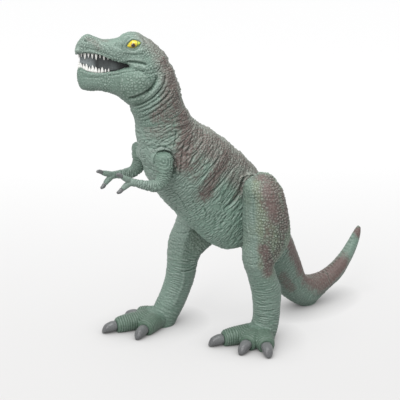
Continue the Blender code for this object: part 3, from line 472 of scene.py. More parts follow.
def distance_mm(points, line, reach_mm):
    """Distance in millimetres from each point to a line of samples, and how far along it."""
    result = np.full(len(points), 99.0)
    share = np.zeros(len(points))
    low, high = line.min(0) - reach_mm * MM, line.max(0) + reach_mm * MM
    inside = np.nonzero(np.all((points > low) & (points < high), axis=1))[0]
    if len(inside):
        d = np.linalg.norm(points[inside][:, None] - line[None], axis=2) / MM
        result[inside] = d.min(axis=1)
        share[inside] = d.argmin(axis=1) / (len(line) - 1)
    return result, share


class Camera:
    """The photograph's camera, to set marks on the skin where the photograph shows them."""
    back = np.array((math.sin(AZIMUTH) * math.cos(ELEVATION), -math.cos(AZIMUTH) * math.cos(ELEVATION),
                     math.sin(ELEVATION)))
    place = CAMERA_TARGET + CAMERA_DISTANCE * back
    right = np.array((math.cos(AZIMUTH), math.sin(AZIMUTH), 0.0))
    up = np.cross(back, right)
    focal = LENS / SENSOR * FRAME_PX

    @classmethod
    def ray(cls, u, v):
        """Direction through a pixel."""
        middle = FRAME_PX / 2
        return unit((u - middle) * cls.right - (v - middle) * cls.up - cls.focal * cls.back)


class Skin:
    """A fused surface while it is being sculpted."""

    def __init__(self, name, forms, cuts, voxel, spine_rows, mirror=None):
        self.mesh = fused(name, forms, cuts, voxel)
        self.mirror = mirror
        self.co = points_of(self.mesh)
        count = len(self.co)
        edges = np.zeros(len(self.mesh.edges) * 2, np.int64)
        self.mesh.edges.foreach_get("vertices", edges)
        self.edges = edges.reshape(-1, 2)
        self.degree = np.bincount(self.edges.ravel(), minlength=count).astype(float)
        self.spine = Spine(spine_rows)
        self.lift = np.zeros(count)
        self.brown = np.zeros(count)

    def spread(self, values):
        """Mean of each point's neighbours."""
        a, b = self.edges.T
        count = len(self.co)
        if values.ndim == 1:
            total = np.bincount(a, values[b], count) + np.bincount(b, values[a], count)
            return total / self.degree
        return np.stack([self.spread(values[:, i]) for i in range(values.shape[1])], axis=1)

    def relax(self, rounds, where=None):
        """Soften the surface, keeping its volume."""
        for k in range(rounds):
            for share in (0.5, -0.52):
                move = (self.spread(self.co) - self.co) * share
                self.co += move if where is None else move * where[:, None]

    def store(self):
        """Keep the points above the floor and write them back to the mesh."""
        self.co[:, 2] = np.maximum(self.co[:, 2], 0)
        self.mesh.vertices.foreach_set("co", self.co.ravel())
        self.mesh.update()

    def settle(self):
        """Fix the smooth base that the marks are set on."""
        self.store()
        self.base = self.co.copy()
        normals = np.zeros(len(self.co) * 3)
        self.mesh.vertex_normals.foreach_get("vector", normals)
        normals = normals.reshape(-1, 3)
        for _ in range(3):
            normals = self.spread(normals)
        self.normals = normals / np.maximum(np.linalg.norm(normals, axis=1), 1e-9)[:, None]
        polygons = [tuple(p.vertices) for p in self.mesh.polygons]
        self.tree = BVHTree.FromPolygons(self.co.tolist(), polygons)
        self.along, self.across, self.rise = self.spine.measure(self.co)

    def nearest(self, place):
        """Place on the skin that is nearest to another."""
        return np.array(self.tree.find_nearest(Vector(place))[0])

    def on_skin(self, u, v):
        """Place on the skin under a pixel of the photograph, or nearest to it."""
        ray = Camera.ray(u, v)
        hit = self.tree.ray_cast(Vector(Camera.place), Vector(ray))[0]
        if hit is not None:
            return np.array(hit)
        depth = np.dot(self.base.mean(0) - Camera.place, -Camera.back)
        return self.nearest(Camera.place + ray * depth / np.dot(ray, -Camera.back))

    def lines(self, pixels):
        """The line under some pixels, and its twin on the far side of a mirrored skin."""
        near = [self.on_skin(u, v) for u, v in zip(pixels[::2], pixels[1::2])]
        if self.mirror is None:
            return [curve_through(near)]
        origin, normal = self.mirror
        far = [self.nearest(p - 2 * np.dot(p - origin, normal) * normal) for p in near]
        return [curve_through(near), curve_through(far)]

    def carve(self, strokes):
        """Raise or carve lines on the skin."""
        for width_mm, lift_mm, *pixels in strokes:
            for line in self.lines(pixels):
                d, share = distance_mm(self.base, line, width_mm * STROKE_REACH)
                profile = np.exp(-(d / width_mm) ** 2)
                if len(line) > SHORT_LINE:
                    profile *= ease(share, -0.02, 0.15) * ease(1 - share, -0.02, 0.15)
                self.lift += lift_mm * profile

    def patches(self, stains):
        """Share of paint in soft-edged patches along lines."""
        ragged = 1 + 0.35 * layered(self.base / MM, 9.0, 31)
        total = np.zeros(len(self.base))
        for width_mm, amount, *pixels in stains:
            edge = width_mm * ragged
            for line in self.lines(pixels):
                d, _ = distance_mm(self.base, line, width_mm * STAIN_REACH)
                total = np.maximum(total, amount * (1 - ease(d, edge * 0.25, edge * 1.6)))
        return total

    def finish_relief(self, limit=FREE_MM):
        """Move the skin by its relief, and keep the fine relief as shade for the paint: the amount of painted shade and
        painted highlight.
        """
        self.lift = np.minimum(self.lift, limit)
        self.co = self.base + self.normals * (self.lift * MM)[:, None]
        broad = self.lift
        for _ in range(6):
            broad = self.spread(broad)
        self.shade = self.lift - broad
        self.store()


# Colours as the photograph shows them
def colour(red, green, blue):
    """Linear colour from an 8-bit one."""
    value = np.array((red, green, blue), float) / 255
    return np.where(value <= 0.04045, value / 12.92, ((value + 0.055) / 1.055) ** 2.4)


GREEN = colour(116, 141, 128)
PALE = colour(139, 153, 145)
OLIVE = colour(124, 132, 104)
# Lighter copy of the green for the torso, made lighter to make up for the shade of its deeper relief: partly painted
# light
LIT_TORSO_GREEN = colour(136, 167, 151)
MOSS = colour(86, 109, 94)
BROWN = colour(110, 91, 87)
DUST = colour(146, 144, 137)
# Dark green: painted shade in creases and round the eyes, and a dark line on the eye
SHADE_AND_LINE_DARK = colour(56, 76, 66)
# Pale green: painted highlights on raised relief, and faint pale flecks on the claws
HIGHLIGHT_AND_FLECK = colour(170, 186, 176)
CLAW = colour(110, 112, 113)
CLAW_TIP = colour(96, 96, 98)
WHITE = colour(252, 252, 248)
# Grey of painted shade at the roots of the teeth, next to the lips
ROOT_SHADE_GREY = colour(150, 154, 148)
MOUTH = colour(66, 72, 73)
YELLOW = colour(216, 196, 48)
LIME = colour(196, 214, 70)
IRIS = colour(150, 100, 34)
PUPIL = colour(44, 26, 20)
WEB_DARK, WEB_LIGHT = colour(22, 26, 26), colour(140, 148, 149)


def mix(a, b, share):
    """Colour between two others, for each point."""
    share = np.clip(share, 0, 1)[:, None]
    return a * (1 - share) + b * share


def painted(mesh, colours):
    """Store a colour for each point of a mesh."""
    layer = mesh.color_attributes.new("paint", "FLOAT_COLOR", "POINT")
    layer.data.foreach_set("color", np.hstack([colours, np.ones((len(colours), 1))]).ravel())


def skin_paint(skin, ground=GREEN, pale=None, olive=None, dust=None, moss=None):
    """Grey-green vinyl with sprayed brown patches, painted shade in the creases and painted highlights on the raised
    spots.
    """
    p = skin.base / MM
    base = mix(ground, PALE, (0.25 + 0.5 * layered(p, 16.0, 61)) * 0.5)
    for tint, share in ((PALE, pale), (OLIVE, olive), (MOSS, moss)):
        if share is not None:
            base = mix(base, tint, share)
    speckle = 1.1 * layered(p, 4.0, 71) + 1.5 * noise(p, 1.3, 73)
    spray = np.clip(skin.brown * 1.08 + skin.brown * (1 - skin.brown) * speckle, 0, 1)
    if dust is not None:
        base = mix(base, DUST, np.clip(dust * (1 + 0.4 * layered(p, 5.0, 75)), 0, 1))
    base = mix(base, BROWN, spray)
    # Painted shade darkens the creases of the relief, and painted highlights lighten its raised spots
    base = mix(base, SHADE_AND_LINE_DARK, np.clip(-skin.shade * 2.2 - 0.07, 0, 0.85))
    base = mix(base, HIGHLIGHT_AND_FLECK, np.clip(skin.shade * 2.2 - 0.07, 0, 0.5) * (1 - 0.4 * spray))
    painted(skin.mesh, base)


# Range of a noise texture that is used, and height of the grain's bumps
NOISE_SPAN = (("From Min", 0.3), ("From Max", 0.7))
GRAIN_HEIGHT = 0.0003


def nodes_of(name):
    """New node material, with its shader and a short way to add nodes."""
    material = bpy.data.materials.new(name)
    material.use_nodes = True
    tree = material.node_tree
    shader = tree.nodes["Principled BSDF"]

    def add(kind, inputs=(), **settings):
        node = tree.nodes.new(kind)
        for key, value in settings.items():
            setattr(node, key, value)
        for socket, value in inputs:
            if isinstance(value, bpy.types.NodeSocket):
                tree.links.new(value, node.inputs[socket])
            else:
                node.inputs[socket].default_value = value
        return node

    return material, tree, shader, add


def painted_material(name, scale, detail, tone):
    """Material in the colours painted on a mesh, made lighter and darker by a fine grain."""
    material, tree, shader, add = nodes_of(name)
    paint = add("ShaderNodeAttribute", attribute_name="paint").outputs["Color"]
    place = add("ShaderNodeTexCoord").outputs["Object"]
    speck = add("ShaderNodeTexNoise", [("Vector", place), ("Scale", scale), ("Detail", detail)]).outputs["Fac"]
    level = add("ShaderNodeMapRange", [("Value", speck), *NOISE_SPAN, ("To Min", 1 - tone), ("To Max", 1 + tone)])
    tint = add("ShaderNodeVectorMath", [(0, paint), ("Scale", level.outputs["Result"])], operation="SCALE")
    tree.links.new(tint.outputs["Vector"], shader.inputs["Base Color"])
    return material, tree, shader, add, place, speck


def vinyl_material(name, roughness=0.40, grain=0.9, tone=0.10, bump=0.45):
    """Soft vinyl: painted colour, fine grain and a satin sheen."""
    material, tree, shader, add, place, speck = painted_material(name, 420.0, 4.0, tone)
    cloud = add("ShaderNodeTexNoise", [("Vector", place), ("Scale", 60.0), ("Detail", 3.0)])
    gloss = add("ShaderNodeMapRange", [("Value", cloud.outputs["Fac"]), *NOISE_SPAN,
                                       ("To Min", roughness - 0.06), ("To Max", roughness + 0.08)])
    tree.links.new(gloss.outputs["Result"], shader.inputs["Roughness"])
    scale = add("ShaderNodeTexVoronoi", [("Vector", place), ("Scale", 1 / (grain * MM))], feature="DISTANCE_TO_EDGE")
    low = add("ShaderNodeMapRange", [("Value", scale.outputs["Distance"]), ("From Max", 0.25)])
    first = add("ShaderNodeBump", [("Height", low.outputs["Result"]), ("Strength", bump), ("Distance", 0.00025)])
    second = add("ShaderNodeBump", [("Height", speck), ("Strength", bump), ("Distance", GRAIN_HEIGHT),
                                    ("Normal", first.outputs["Normal"])])
    tree.links.new(second.outputs["Normal"], shader.inputs["Normal"])
    return material


def gloss_material(name, roughness, tone=0.05, bump=0.15, coat=0.0):
    """Smooth painted plastic."""
    material, tree, shader, add, _, speck = painted_material(name, 700.0, 3.0, tone)
    raised = add("ShaderNodeBump", [("Height", speck), ("Strength", bump), ("Distance", GRAIN_HEIGHT)])
    tree.links.new(raised.outputs["Normal"], shader.inputs["Normal"])
    shader.inputs["Roughness"].default_value = roughness
    shader.inputs["Coat Weight"].default_value = coat
    shader.inputs["Coat Roughness"].default_value = 0.05
    return material


SKIN_MATERIAL = vinyl_material("skin_vinyl")
CLAW_MATERIAL = gloss_material("claw_paint", 0.34)
TOOTH_MATERIAL = gloss_material("tooth_paint", 0.32)
EYE_MATERIAL = gloss_material("eye_paint", 0.2, coat=0.6)
MOUTH_MATERIAL = gloss_material("mouth_paint", 0.6, tone=0.2, bump=0.5)


def piece(name, mesh, material, body, slot, *nodes):
    """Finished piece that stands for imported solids."""
    mesh.materials.clear()
    mesh.materials.append(material)
    mesh.shade_smooth()
    mesh.transform(Matrix.Translation((0, ASIDE, 0)))
    item = placed(name, mesh)
    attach(item, body)
    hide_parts(*nodes)


def voxel(size_mm):
    return size_mm * MM * 1


def seat(centre, axis, back, size, offset):
    """End section at a joint."""
    middle = centre + axis * offset
    return section(middle + back * size[0] / 2, middle - back * size[0] / 2, ACROSS, size[1] / 2)


def seat_mask(points, origin, axis, side):
    """Zero at a seat's plane, and one a little way from it."""
    return ease(np.dot(points - origin, axis) * side / MM, 0.25, 1.1)


def radius_from(points, centre):
    """Distance from an axis that runs across the figure."""
    return np.hypot(points[:, 0] - centre[0], points[:, 2] - centre[2])


def shoulder_recess(points):
    """Distance from the shoulder's axis, share of the wide part of its recess, and the recess's radius."""
    heading = np.degrees(np.arctan2(points[:, 2] - SHOULDER[2], SHOULDER[0] - points[:, 0]))
    wide = ease(heading, -150, -128) * (1 - ease(heading, 15, 45))
    return radius_from(points, SHOULDER), wide, NARROW_RECESS + (SHOULDER_RECESS - NARROW_RECESS) * wide


def bumps(skin, aside, width, low, high, mean, swing, pitch):
    """Row of bumps along the back."""
    on_back = np.exp(-(aside / width) ** 2) * ease(skin.rise, low, high)
    return on_back * (mean + swing * np.cos(2 * math.pi * skin.along / pitch))


# Torso
BODY_MIRROR = (np.zeros(3), ACROSS)


def torso_rows():
    """Torso sections from the tail seat to the neck seat."""
    rows = [seat(TAIL_JOINT, TAIL_AXIS, TAIL_BACK, TAIL_SEAT, -SKIN_GAP / 2)]
    for back_ahead, back_rise, belly_ahead, belly_rise, width in TORSO_ROWS:
        top = TAIL_JOINT + np.array((-back_ahead * TORSO_LENGTH, 0, back_rise * TORSO_RISE))
        bottom = TAIL_JOINT + np.array((-belly_ahead * TORSO_LENGTH, 0, belly_rise * TORSO_RISE))
        rows.append(section(top, bottom, ACROSS, width * TORSO_WIDTH / 2))
    rows.append(seat(NECK_JOINT, NECK_AXIS, NECK_BACK, NECK_SEAT, -SKIN_GAP / 2))
    return rows


# Rows of marks: width in millimetres, height in millimetres or share of paint, then pairs of pixels
TORSO_STROKES = (
    # fold in front of the thigh
    (1.6, -1.7, 245, 171, 244, 180, 241.5, 189, 237, 197, 231, 204, 222, 211),
    (1.3, -0.8, 240, 174, 238, 184, 233, 193, 226, 201),
    (1.2, -0.9, 240, 205, 236, 213, 231, 221),
    (1.0, -0.9, 227, 215, 224, 220, 220, 226),
    (1.1, -0.8, 233, 224, 229, 231, 224, 236),
    # grooves over the ribs
    (1.1, -1.1, 186, 136, 184, 145, 182, 155, 181, 166, 179.5, 178),
    (1.0, -0.8, 192, 137, 189.5, 146, 187, 156, 186, 168),
    (1.1, -0.9, 204, 140, 199, 148, 194, 156, 190, 164),
    (1.0, -0.8, 213, 148, 206, 157, 199, 166, 193, 174),
    (1.2, -1.0, 222, 154, 214, 164, 205, 174, 195, 183),
    (1.1, -0.9, 228, 160, 221, 170, 212, 180, 202, 189),
    (1.2, -1.0, 233, 167, 226, 177, 217, 187, 206, 197),
    (1.1, -0.8, 236, 175, 230, 185, 221, 195, 210, 204),
    # grooves behind and above the shoulder
    (1.0, -1.0, 176.5, 130, 175.5, 139, 173.5, 148),
    (1.0, -0.8, 152, 150, 160, 146.5, 168, 148, 173.5, 153),
    (0.9, -0.5, 150, 145, 160, 141.5, 170, 143),
    (1.1, -0.9, 176, 158, 176.5, 168, 172, 177, 166, 184),
    # belly
    (1.1, -0.6, 171, 190, 178, 196, 184, 205, 188, 214),
    (1.1, -0.6, 192, 200, 196, 208, 197, 217),
    (1.1, -0.6, 203, 205, 206, 213, 206, 222),
    (1.1, -0.6, 214, 214, 216, 222, 214, 231),
)
TORSO_STAINS = (
    (8.0, 0.65, 157, 118, 166, 120, 174, 117),
    (9.5, 0.42, 153, 127, 161, 131, 169, 132),
    (12.0, 0.9, 181, 114, 184, 123, 187, 131),
    (11.0, 1.0, 187, 128, 187, 140, 185, 152, 183, 162),
    (12.0, 0.7, 200, 134, 207, 142, 212, 150),
    (9.0, 0.7, 196, 146, 194, 158, 190, 168),
    (11.0, 0.72, 218, 142, 226, 150, 232, 158),
    (9.5, 0.95, 226, 156, 220, 168, 213, 180, 206, 192),
    (5.0, 0.6, 207, 190, 202, 197),
    (6.0, 0.45, 204, 156, 200, 168, 196, 178),
    (9.0, 0.6, 238, 158, 247, 164, 256, 169),
    (3.0, 0.6, 243, 184, 240, 192, 236, 199),
)


def torso():
    """Trunk skin with flat seats."""
    rows = torso_rows()
    forms = [loft(folded(rows, 3), 96, 5)]
    for centre, plane, radius in ((HIP, HIP_PLANE, HIP_BOSS), (SHOULDER, SHOULDER_PLANE, SHOULDER_BOSS)):
        forms.append(cylinder(centre, ACROSS, -plane, plane, radius))
    skin = Skin("torso_skin", forms, [], voxel(0.66), rows, BODY_MIRROR)
    skin.relax(2)
    y = skin.co[:, 1]
    hip_r = radius_from(skin.co, HIP)
    shoulder_r, swept, recess = shoulder_recess(skin.co)
    over_hip = np.degrees(np.arctan2(skin.co[:, 0] - HIP[0], skin.co[:, 2] - HIP[2]))
    over_hip = 1 - ease(np.abs(over_hip + 15), 45, 65)
    wall = HIP_PLANE + np.maximum(hip_r - HIP_RECESS + 0.0026 * over_hip, 0) * (1.2 + 1.6 * over_hip)
    wall = np.where(np.abs(y) > wall, wall, np.abs(y))
    socket = SHOULDER_PLANE + np.maximum(shoulder_r - recess, 0) * (1 + SOCKET_SLOPE * (1 - swept))
    wall = np.minimum(wall, np.where(shoulder_r < SOCKET_REACH, socket, 1.0))
    skin.co[:, 1] = np.sign(y) * wall
    from_rims = (hip_r - HIP_RECESS, shoulder_r - SHOULDER_RECESS)
    near_rims = sum(np.exp(-(distance / RIM_WIDTH) ** 2) for distance in from_rims)
    skin.relax(4, np.clip(near_rims, 0, 1))
    skin.settle()
    p = skin.base / MM
    back = ease(skin.rise, -4, 16)
    belly = ease(-skin.rise, 2, 18)
    flank = 1 - back - belly
    flank_share = np.clip(flank + 0.7 * back, 0, 1)
    skin.lift += rings(skin, 4.2, 24.0, 11, 0.7, 0.26) * (0.3 + 0.7 * flank_share)
    skin.lift += rings(skin, 2.5, 9.0, 17, 0.6) * (0.34 + 0.35 * belly)
    skin.lift += pebbles(p, 2.2, 3) * (0.25 + 0.3 * back)
    skin.lift += 0.35 * layered(p, 14.0, 19)
    skin.lift += bumps(skin, p[:, 1], 3.4, 10, 20, 0.3, 0.8, 5.5)
    skin.carve(TORSO_STROKES)
    mask = seat_mask(skin.base, NECK_JOINT, NECK_AXIS, -1) * seat_mask(skin.base, TAIL_JOINT, TAIL_AXIS, -1)
    hip_r, y = radius_from(skin.base, HIP), np.abs(skin.base[:, 1])
    shoulder_r, swept, recess = shoulder_recess(skin.base)
    in_hip = (1 - ease(hip_r, HIP_RECESS - 0.004, HIP_RECESS - 0.001)) * ease(y, 0.021, 0.024)
    in_socket = (1 - ease(shoulder_r - recess, -0.001, 0.0015)) * ease(y, 0.012, 0.015)
    skin.lift = (skin.lift * (1 - in_socket) - 0.75 * in_hip) * mask
    sweep = (skin.base[:, 2] < HIP_HEIGHT) & (hip_r < 0.085) & (skin.base[:, 0] > -0.075)
    room = np.where(sweep, (HIP_PLANE - y) / MM, FREE_MM)
    room = np.where(in_hip > 0.5, np.minimum(room, -0.02), room)
    skin.finish_relief(np.maximum(room, -0.6))
    skin.brown = skin.patches(TORSO_STAINS)
    top = ease(skin.rise + 3.5 * layered(p, 13.0, 37), 3, 17)
    skin.brown = np.maximum(skin.brown, top * (0.3 + 0.3 * layered(p, 18.0, 33)))
    # Pale paint in a ring round the shoulder recess lightens the shade in the groove above the arm: a painted light
    groove_fill_light = (1 - swept) * np.exp(-((shoulder_r - 0.0115) / 0.002) ** 2)
    skin_paint(skin, LIT_TORSO_GREEN, pale=np.maximum(0.5 * belly * ease(skin.along, 60, 120), groove_fill_light), dust=0.85 * top)
    piece("torso_skin", skin.mesh, SKIN_MATERIAL, "torso", "skin", "torso_shell")


# Head
def ahead(turn):
    """Floor direction ahead of a turned head."""
    return np.array((-math.cos(turn), math.sin(turn), 0.0))


def rightwards(turn):
    """Floor direction to the right of a turned head."""
    return np.array((math.sin(turn), math.cos(turn), 0.0))


HEAD_PIVOT = NECK_JOINT + np.array((-NECK_PIVOT_AHEAD, 0, 0))
FACE_AHEAD, FACE_RIGHT = ahead(HEAD_TURN), rightwards(HEAD_TURN)
HEAD_MIRROR = (HEAD_PIVOT, FACE_RIGHT)


def head_point(ahead_share, rise_share, turn=HEAD_TURN, side=0.0):
    """Place in the head."""
    place = HEAD_PIVOT + ahead(turn) * (ahead_share * HEAD_LENGTH) + rightwards(turn) * side
    return place + UP * (rise_share * HEAD_RISE)


def head_rows():
    """Neck and upper head sections."""
    rows = [seat(NECK_JOINT, NECK_AXIS, NECK_BACK, NECK_SEAT, SKIN_GAP / 2)]
    for top_ahead, top_rise, low_ahead, low_rise, width, turn_share, square in HEAD_ROWS:
        turn = HEAD_TURN * turn_share
        low_rise -= UPPER_LIP_DROP if top_ahead > 0.4 else 0
        top, bottom = head_point(top_ahead, top_rise, turn), head_point(low_ahead, low_rise, turn)
        power = ROUND + (SQUARE - ROUND) * square
        rows.append(section(top, bottom, rightwards(turn), width * HEAD_WIDTH / 2, ROUND, power))
    return rows


def jaw_rows():
    """Lower jaw sections."""
    rows = []
    for top_ahead, top_rise, low_ahead, low_rise, width in JAW_ROWS:
        top_rise += LOWER_LIP_LIFT if top_ahead > 0.5 else 0
        top, bottom = head_point(top_ahead, top_rise), head_point(low_ahead, low_rise)
        rows.append(section(top, bottom, FACE_RIGHT, width * JAW_WIDTH / 2, SQUARE, ROUND))
    return rows


def mouth_plan(angle, draw_in):
    """Ahead and side of the mouth's outline in plan, drawn in square to itself."""
    power = 2 / MOUTH_POWER
    sine, cosine = abs(math.sin(angle)), math.cos(angle)
    forward = MOUTH_REAR + MOUTH_REACH * sine ** power
    side = MOUTH_WIDTH / 2 * math.copysign(abs(cosine) ** power, cosine)
    slope = unit((MOUTH_WIDTH / 2 * sine, MOUTH_REACH * cosine))
    return forward - slope[0] * draw_in, side - slope[1] * draw_in


def mouth_rise(forward, upper):
    """Rise of the mouth recess's roof or floor."""
    stations = [row[0] * HEAD_LENGTH for row in MOUTH_ROWS]
    lips = [row[1 if upper else 2] * HEAD_RISE for row in MOUTH_ROWS]
    lip = float(np.interp(forward, stations, lips))
    return lip + MOUTH_RECESS if upper else lip - MOUTH_RECESS


def mouth_box():
    """The recess between the jaws."""
    stations = [(MOUTH_ROWS[0][0] * HEAD_LENGTH, mouth_plan(0, 0)[1])]
    for angle in np.radians(np.linspace(6, 85, 14)):
        stations.append(mouth_plan(angle, 0))
    rows = []
    for forward, side in stations:
        top = head_point(forward / HEAD_LENGTH, mouth_rise(forward, True) / HEAD_RISE)
        bottom = head_point(forward / HEAD_LENGTH, mouth_rise(forward, False) / HEAD_RISE)
        rows.append(section(top, bottom, FACE_RIGHT, side, 80, 80))
    return loft(rows, 4, 1)


HEAD_STROKES = (
    # brow, cheekbone and the hollow before the eye
    (2.7, 1.0, 119.5, 37.8, 124, 35.2, 130, 33.8, 136, 34.4, 140, 37.4),
    (1.3, -0.9, 142.5, 37.4, 145, 41, 148, 45),
    (1.7, 1.3, 122, 40, 128, 36.8, 135, 36.5, 141, 39.5),
    (2.4, 2.3, 77, 51, 78.5, 50),
    (2.6, -1.2, 114, 44, 119, 46, 123, 47),
    (1.6, 0.7, 121, 50.5, 129, 52.3, 138, 51.6, 146, 48.5),
    (0.8, -0.6, 126, 54.3, 135, 54.4, 144, 53.8),
    (1.6, 0.6, 146, 43, 151, 47, 154, 52),
    # slit behind the mouth and the folds round it
    (1.15, -2.0, 124.5, 62.8, 130, 62, 136, 62.3, 142, 63.2, 148, 65),
    (1.3, 0.5, 126, 60, 134, 59.6, 143, 60.8),
    (1.4, 0.9, 118, 69.6, 127, 67.4, 136, 66.6, 144, 67.6, 150, 69.5),
    (0.9, -0.9, 107, 75.5, 116, 74.3, 125, 72, 133, 71, 141, 70.8, 148, 72.2),
    # lips
    (1.1, 0.7, 78, 52, 86, 51.2, 95, 52.6, 103, 55.2, 110, 58.4, 117, 60.8, 124, 61.6),
    (0.9, -0.4, 82, 48.8, 91, 48.9, 100, 51.2, 108, 54.4, 116, 57.4),
    (1.1, 0.5, 79, 70.6, 88, 73.4, 98, 74.2, 108, 73.2, 117, 71.2),
    (0.9, -0.35, 82, 76.2, 92, 77.6, 103, 77),
    # nostril
    (0.9, -1.1, 84.4, 40.6, 85.8, 41.4),
    (1.0, 0.6, 81.6, 38.8, 84.5, 38.2, 87.6, 40),
    (1.0, -0.4, 92, 40.5, 98, 43.5, 103, 47.5),
    (1.0, -0.35, 100, 41, 106, 45, 111, 50),
    # jaw muscle and the deep crease behind it
    (8.0, 1.8, 119, 84, 130, 84, 141, 81, 148, 76),
    (1.7, -2.9, 157, 74, 156, 80, 152.3, 87, 147, 91.5, 141, 95, 134, 97.6, 127.5, 98),
    # neck folds
    (1.6, 0.9, 161, 72, 161, 80, 158, 87, 150.5, 94.5, 142, 100, 134, 103),
    (0.95, -1.6, 165, 70, 165.4, 80, 161, 89, 152.5, 98, 143, 103.4, 134, 106.4),
    (0.95, -1.3, 168, 84, 163, 93.5, 152.5, 102, 143, 107, 134.5, 110),
    (1.0, -1.6, 172, 88, 165.5, 97.5, 155, 105.8, 146, 110.4, 136, 113.4),
    (0.9, -1.2, 175, 93, 168, 101.5, 158, 109, 148.5, 114.6, 139, 118.2),
    (0.9, -1.0, 177.5, 98, 170.5, 106, 161, 113, 150.5, 118.8, 141, 122.4),
    (0.9, -0.6, 164, 60, 168.5, 68, 170, 77),
)
HEAD_STAINS = (
    (5.0, 0.35, 152, 42, 160, 50, 167, 60),
    (6.5, 0.7, 165, 62, 171, 72, 174, 84),
    (9.5, 0.85, 172, 80, 174, 91, 175, 102),
    (6.0, 0.75, 168, 93, 166, 102, 162, 110, 156, 117),
    (7.0, 0.7, 180, 106, 172, 112, 164, 116),
    (3.6, 0.34, 89, 38, 95, 42, 98, 48),
    (3.0, 0.25, 99, 39.5, 106, 41),
)


def head():
    """Neck, skull and open jaws."""
    rows = head_rows()
    neck_rows = folded(rows[:4], 2)
    skull = loft(np.vstack([neck_rows, smooth(rows[3:], 2)[1:]]), 96, 6)
    jaw = loft(jaw_rows(), 96, 10)
    skin = Skin("head_skin", [skull, jaw], [mouth_box()], voxel(0.56), rows, HEAD_MIRROR)
    skin.relax(3)
    skin.settle()
    p = skin.base / MM
    local = skin.base - HEAD_PIVOT
    forward = local @ FACE_AHEAD / HEAD_LENGTH
    side = local @ FACE_RIGHT / MM
    rise = local[:, 2] / HEAD_RISE
    reach = np.clip((forward * HEAD_LENGTH - MOUTH_REAR) / MOUTH_REACH, 0, 1) ** (MOUTH_POWER / 2)
    half = MOUTH_WIDTH / 2 * np.sqrt(1 - reach ** 2) ** (2 / MOUTH_POWER)
    stations = [row[0] for row in MOUTH_ROWS]
    low_lip = np.interp(forward, stations, [row[2] for row in MOUTH_ROWS]) * HEAD_RISE / MM
    high_lip = np.interp(forward, stations, [row[1] for row in MOUTH_ROWS]) * HEAD_RISE / MM
    level = local[:, 2] / MM
    front = (MOUTH_REAR + MOUTH_REACH) / HEAD_LENGTH
    in_mouth = (np.abs(side) < half / MM + 0.35) & (forward > stations[0] - 0.01) & (forward < front + 0.004)
    in_mouth &= (level < high_lip + 3.6) & (level > low_lip - 3.6)
    in_mouth &= (level > high_lip - 0.6) | (level < low_lip + 0.4) | (forward < 0.5)
    neck = 1 - ease(skin.along, 45, 62)
    bulge_place = head_point(0.20, 0.40)
    bulge = np.exp(-(((local - (bulge_place - HEAD_PIVOT)) @ FACE_AHEAD / 0.018) ** 2
                     + ((rise - 0.38) / 0.17) ** 2)) * ease(np.abs(side), 4, 10)
    patch = ease(layered(p, 11.0, 15), -0.25, 0.3)
    round_jaw = np.clip(bulge * 1.6, 0, 1)
    skin.lift += pebbles(p, 2.2, 5) * (0.28 + 0.4 * patch) * (1 - round_jaw)
    skin.lift += pebbles(p, 2.9, 9) * 0.5 * round_jaw
    skin.lift += 1.5 * bulge
    folds = rings(skin, 2.7, 15.0, 23, 0.5, 0.28) * 0.55 * neck * (1 - round_jaw)
    skin.lift += folds * (1 - 0.4 * ease(-skin.rise, 2, 12))
    skin.lift += 0.35 * layered(p, 9.0, 29)
    skin.carve(HEAD_STROKES)
    from_eye, over_eye = local @ FACE_AHEAD - EYE_AHEAD, local[:, 2] - EYE_RISE
    eye_ahead = np.abs(from_eye * math.cos(EYE_TILT) - over_eye * math.sin(EYE_TILT)) / (EYE_SIZE[0] / 2)
    eye_rise = np.abs(from_eye * math.sin(EYE_TILT) + over_eye * math.cos(EYE_TILT)) / (EYE_SIZE[1] / 2)
    r = (eye_ahead ** EYE_POWER + eye_rise ** EYE_POWER) ** (1 / EYE_POWER)
    skin.lift *= 1 - 0.8 * np.exp(-(r / 1.3) ** 4)
    lid = 0.2 + 0.75 * ease(over_eye / MM, -1.5, 3)
    skin.lift += lid * np.exp(-((r - 1.25) / 0.2) ** 2) - 1.8 * np.exp(-(r / 0.95) ** 4)
    skin.lift += bumps(skin, side, 2.6, 8, 16, 0.25, 0.6, 5.0) * (skin.along < 95)
    skin.lift *= seat_mask(skin.base, NECK_JOINT, NECK_AXIS, 1) * np.where(in_mouth, 0.0, 1.0)
    skin.finish_relief()
    skin.brown = skin.patches(HEAD_STAINS)
    nape = ease(skin.rise + 2.5 * layered(p, 11.0, 37), 6, 17) * (1 - ease(forward, 0.08, 0.24))
    skin.brown = np.maximum(skin.brown, nape * 0.25)
    snout = ease(forward, 0.1, 0.8) * ease(rise, 0.55, 0.75)
    skin_paint(skin, pale=0.35 * snout, dust=0.8 * nape, moss=0.55 * round_jaw)
    layer = skin.mesh.color_attributes["paint"]
    values = np.zeros(len(skin.co) * 4)
    layer.data.foreach_get("color", values)
    values = values.reshape(-1, 4)
    # Painted shade: a dark ring where the lids meet the eye, and a painted shadow of the brow in front of the eye
    eye_shade = 0.75 * np.exp(-((r - 1.03) / 0.11) ** 2)
    eye_shade = eye_shade + 0.35 * np.exp(-((r - 1.5) / 0.3) ** 2) * ease(from_eye / MM, 2, 7)
    values[:, 0:3] = mix(values[:, 0:3], SHADE_AND_LINE_DARK, eye_shade)
    values[in_mouth, 0:3] = MOUTH
    layer.data.foreach_set("color", values.ravel())
    piece("head_skin", skin.mesh, SKIN_MATERIAL, "head", "skin", "head_shell")


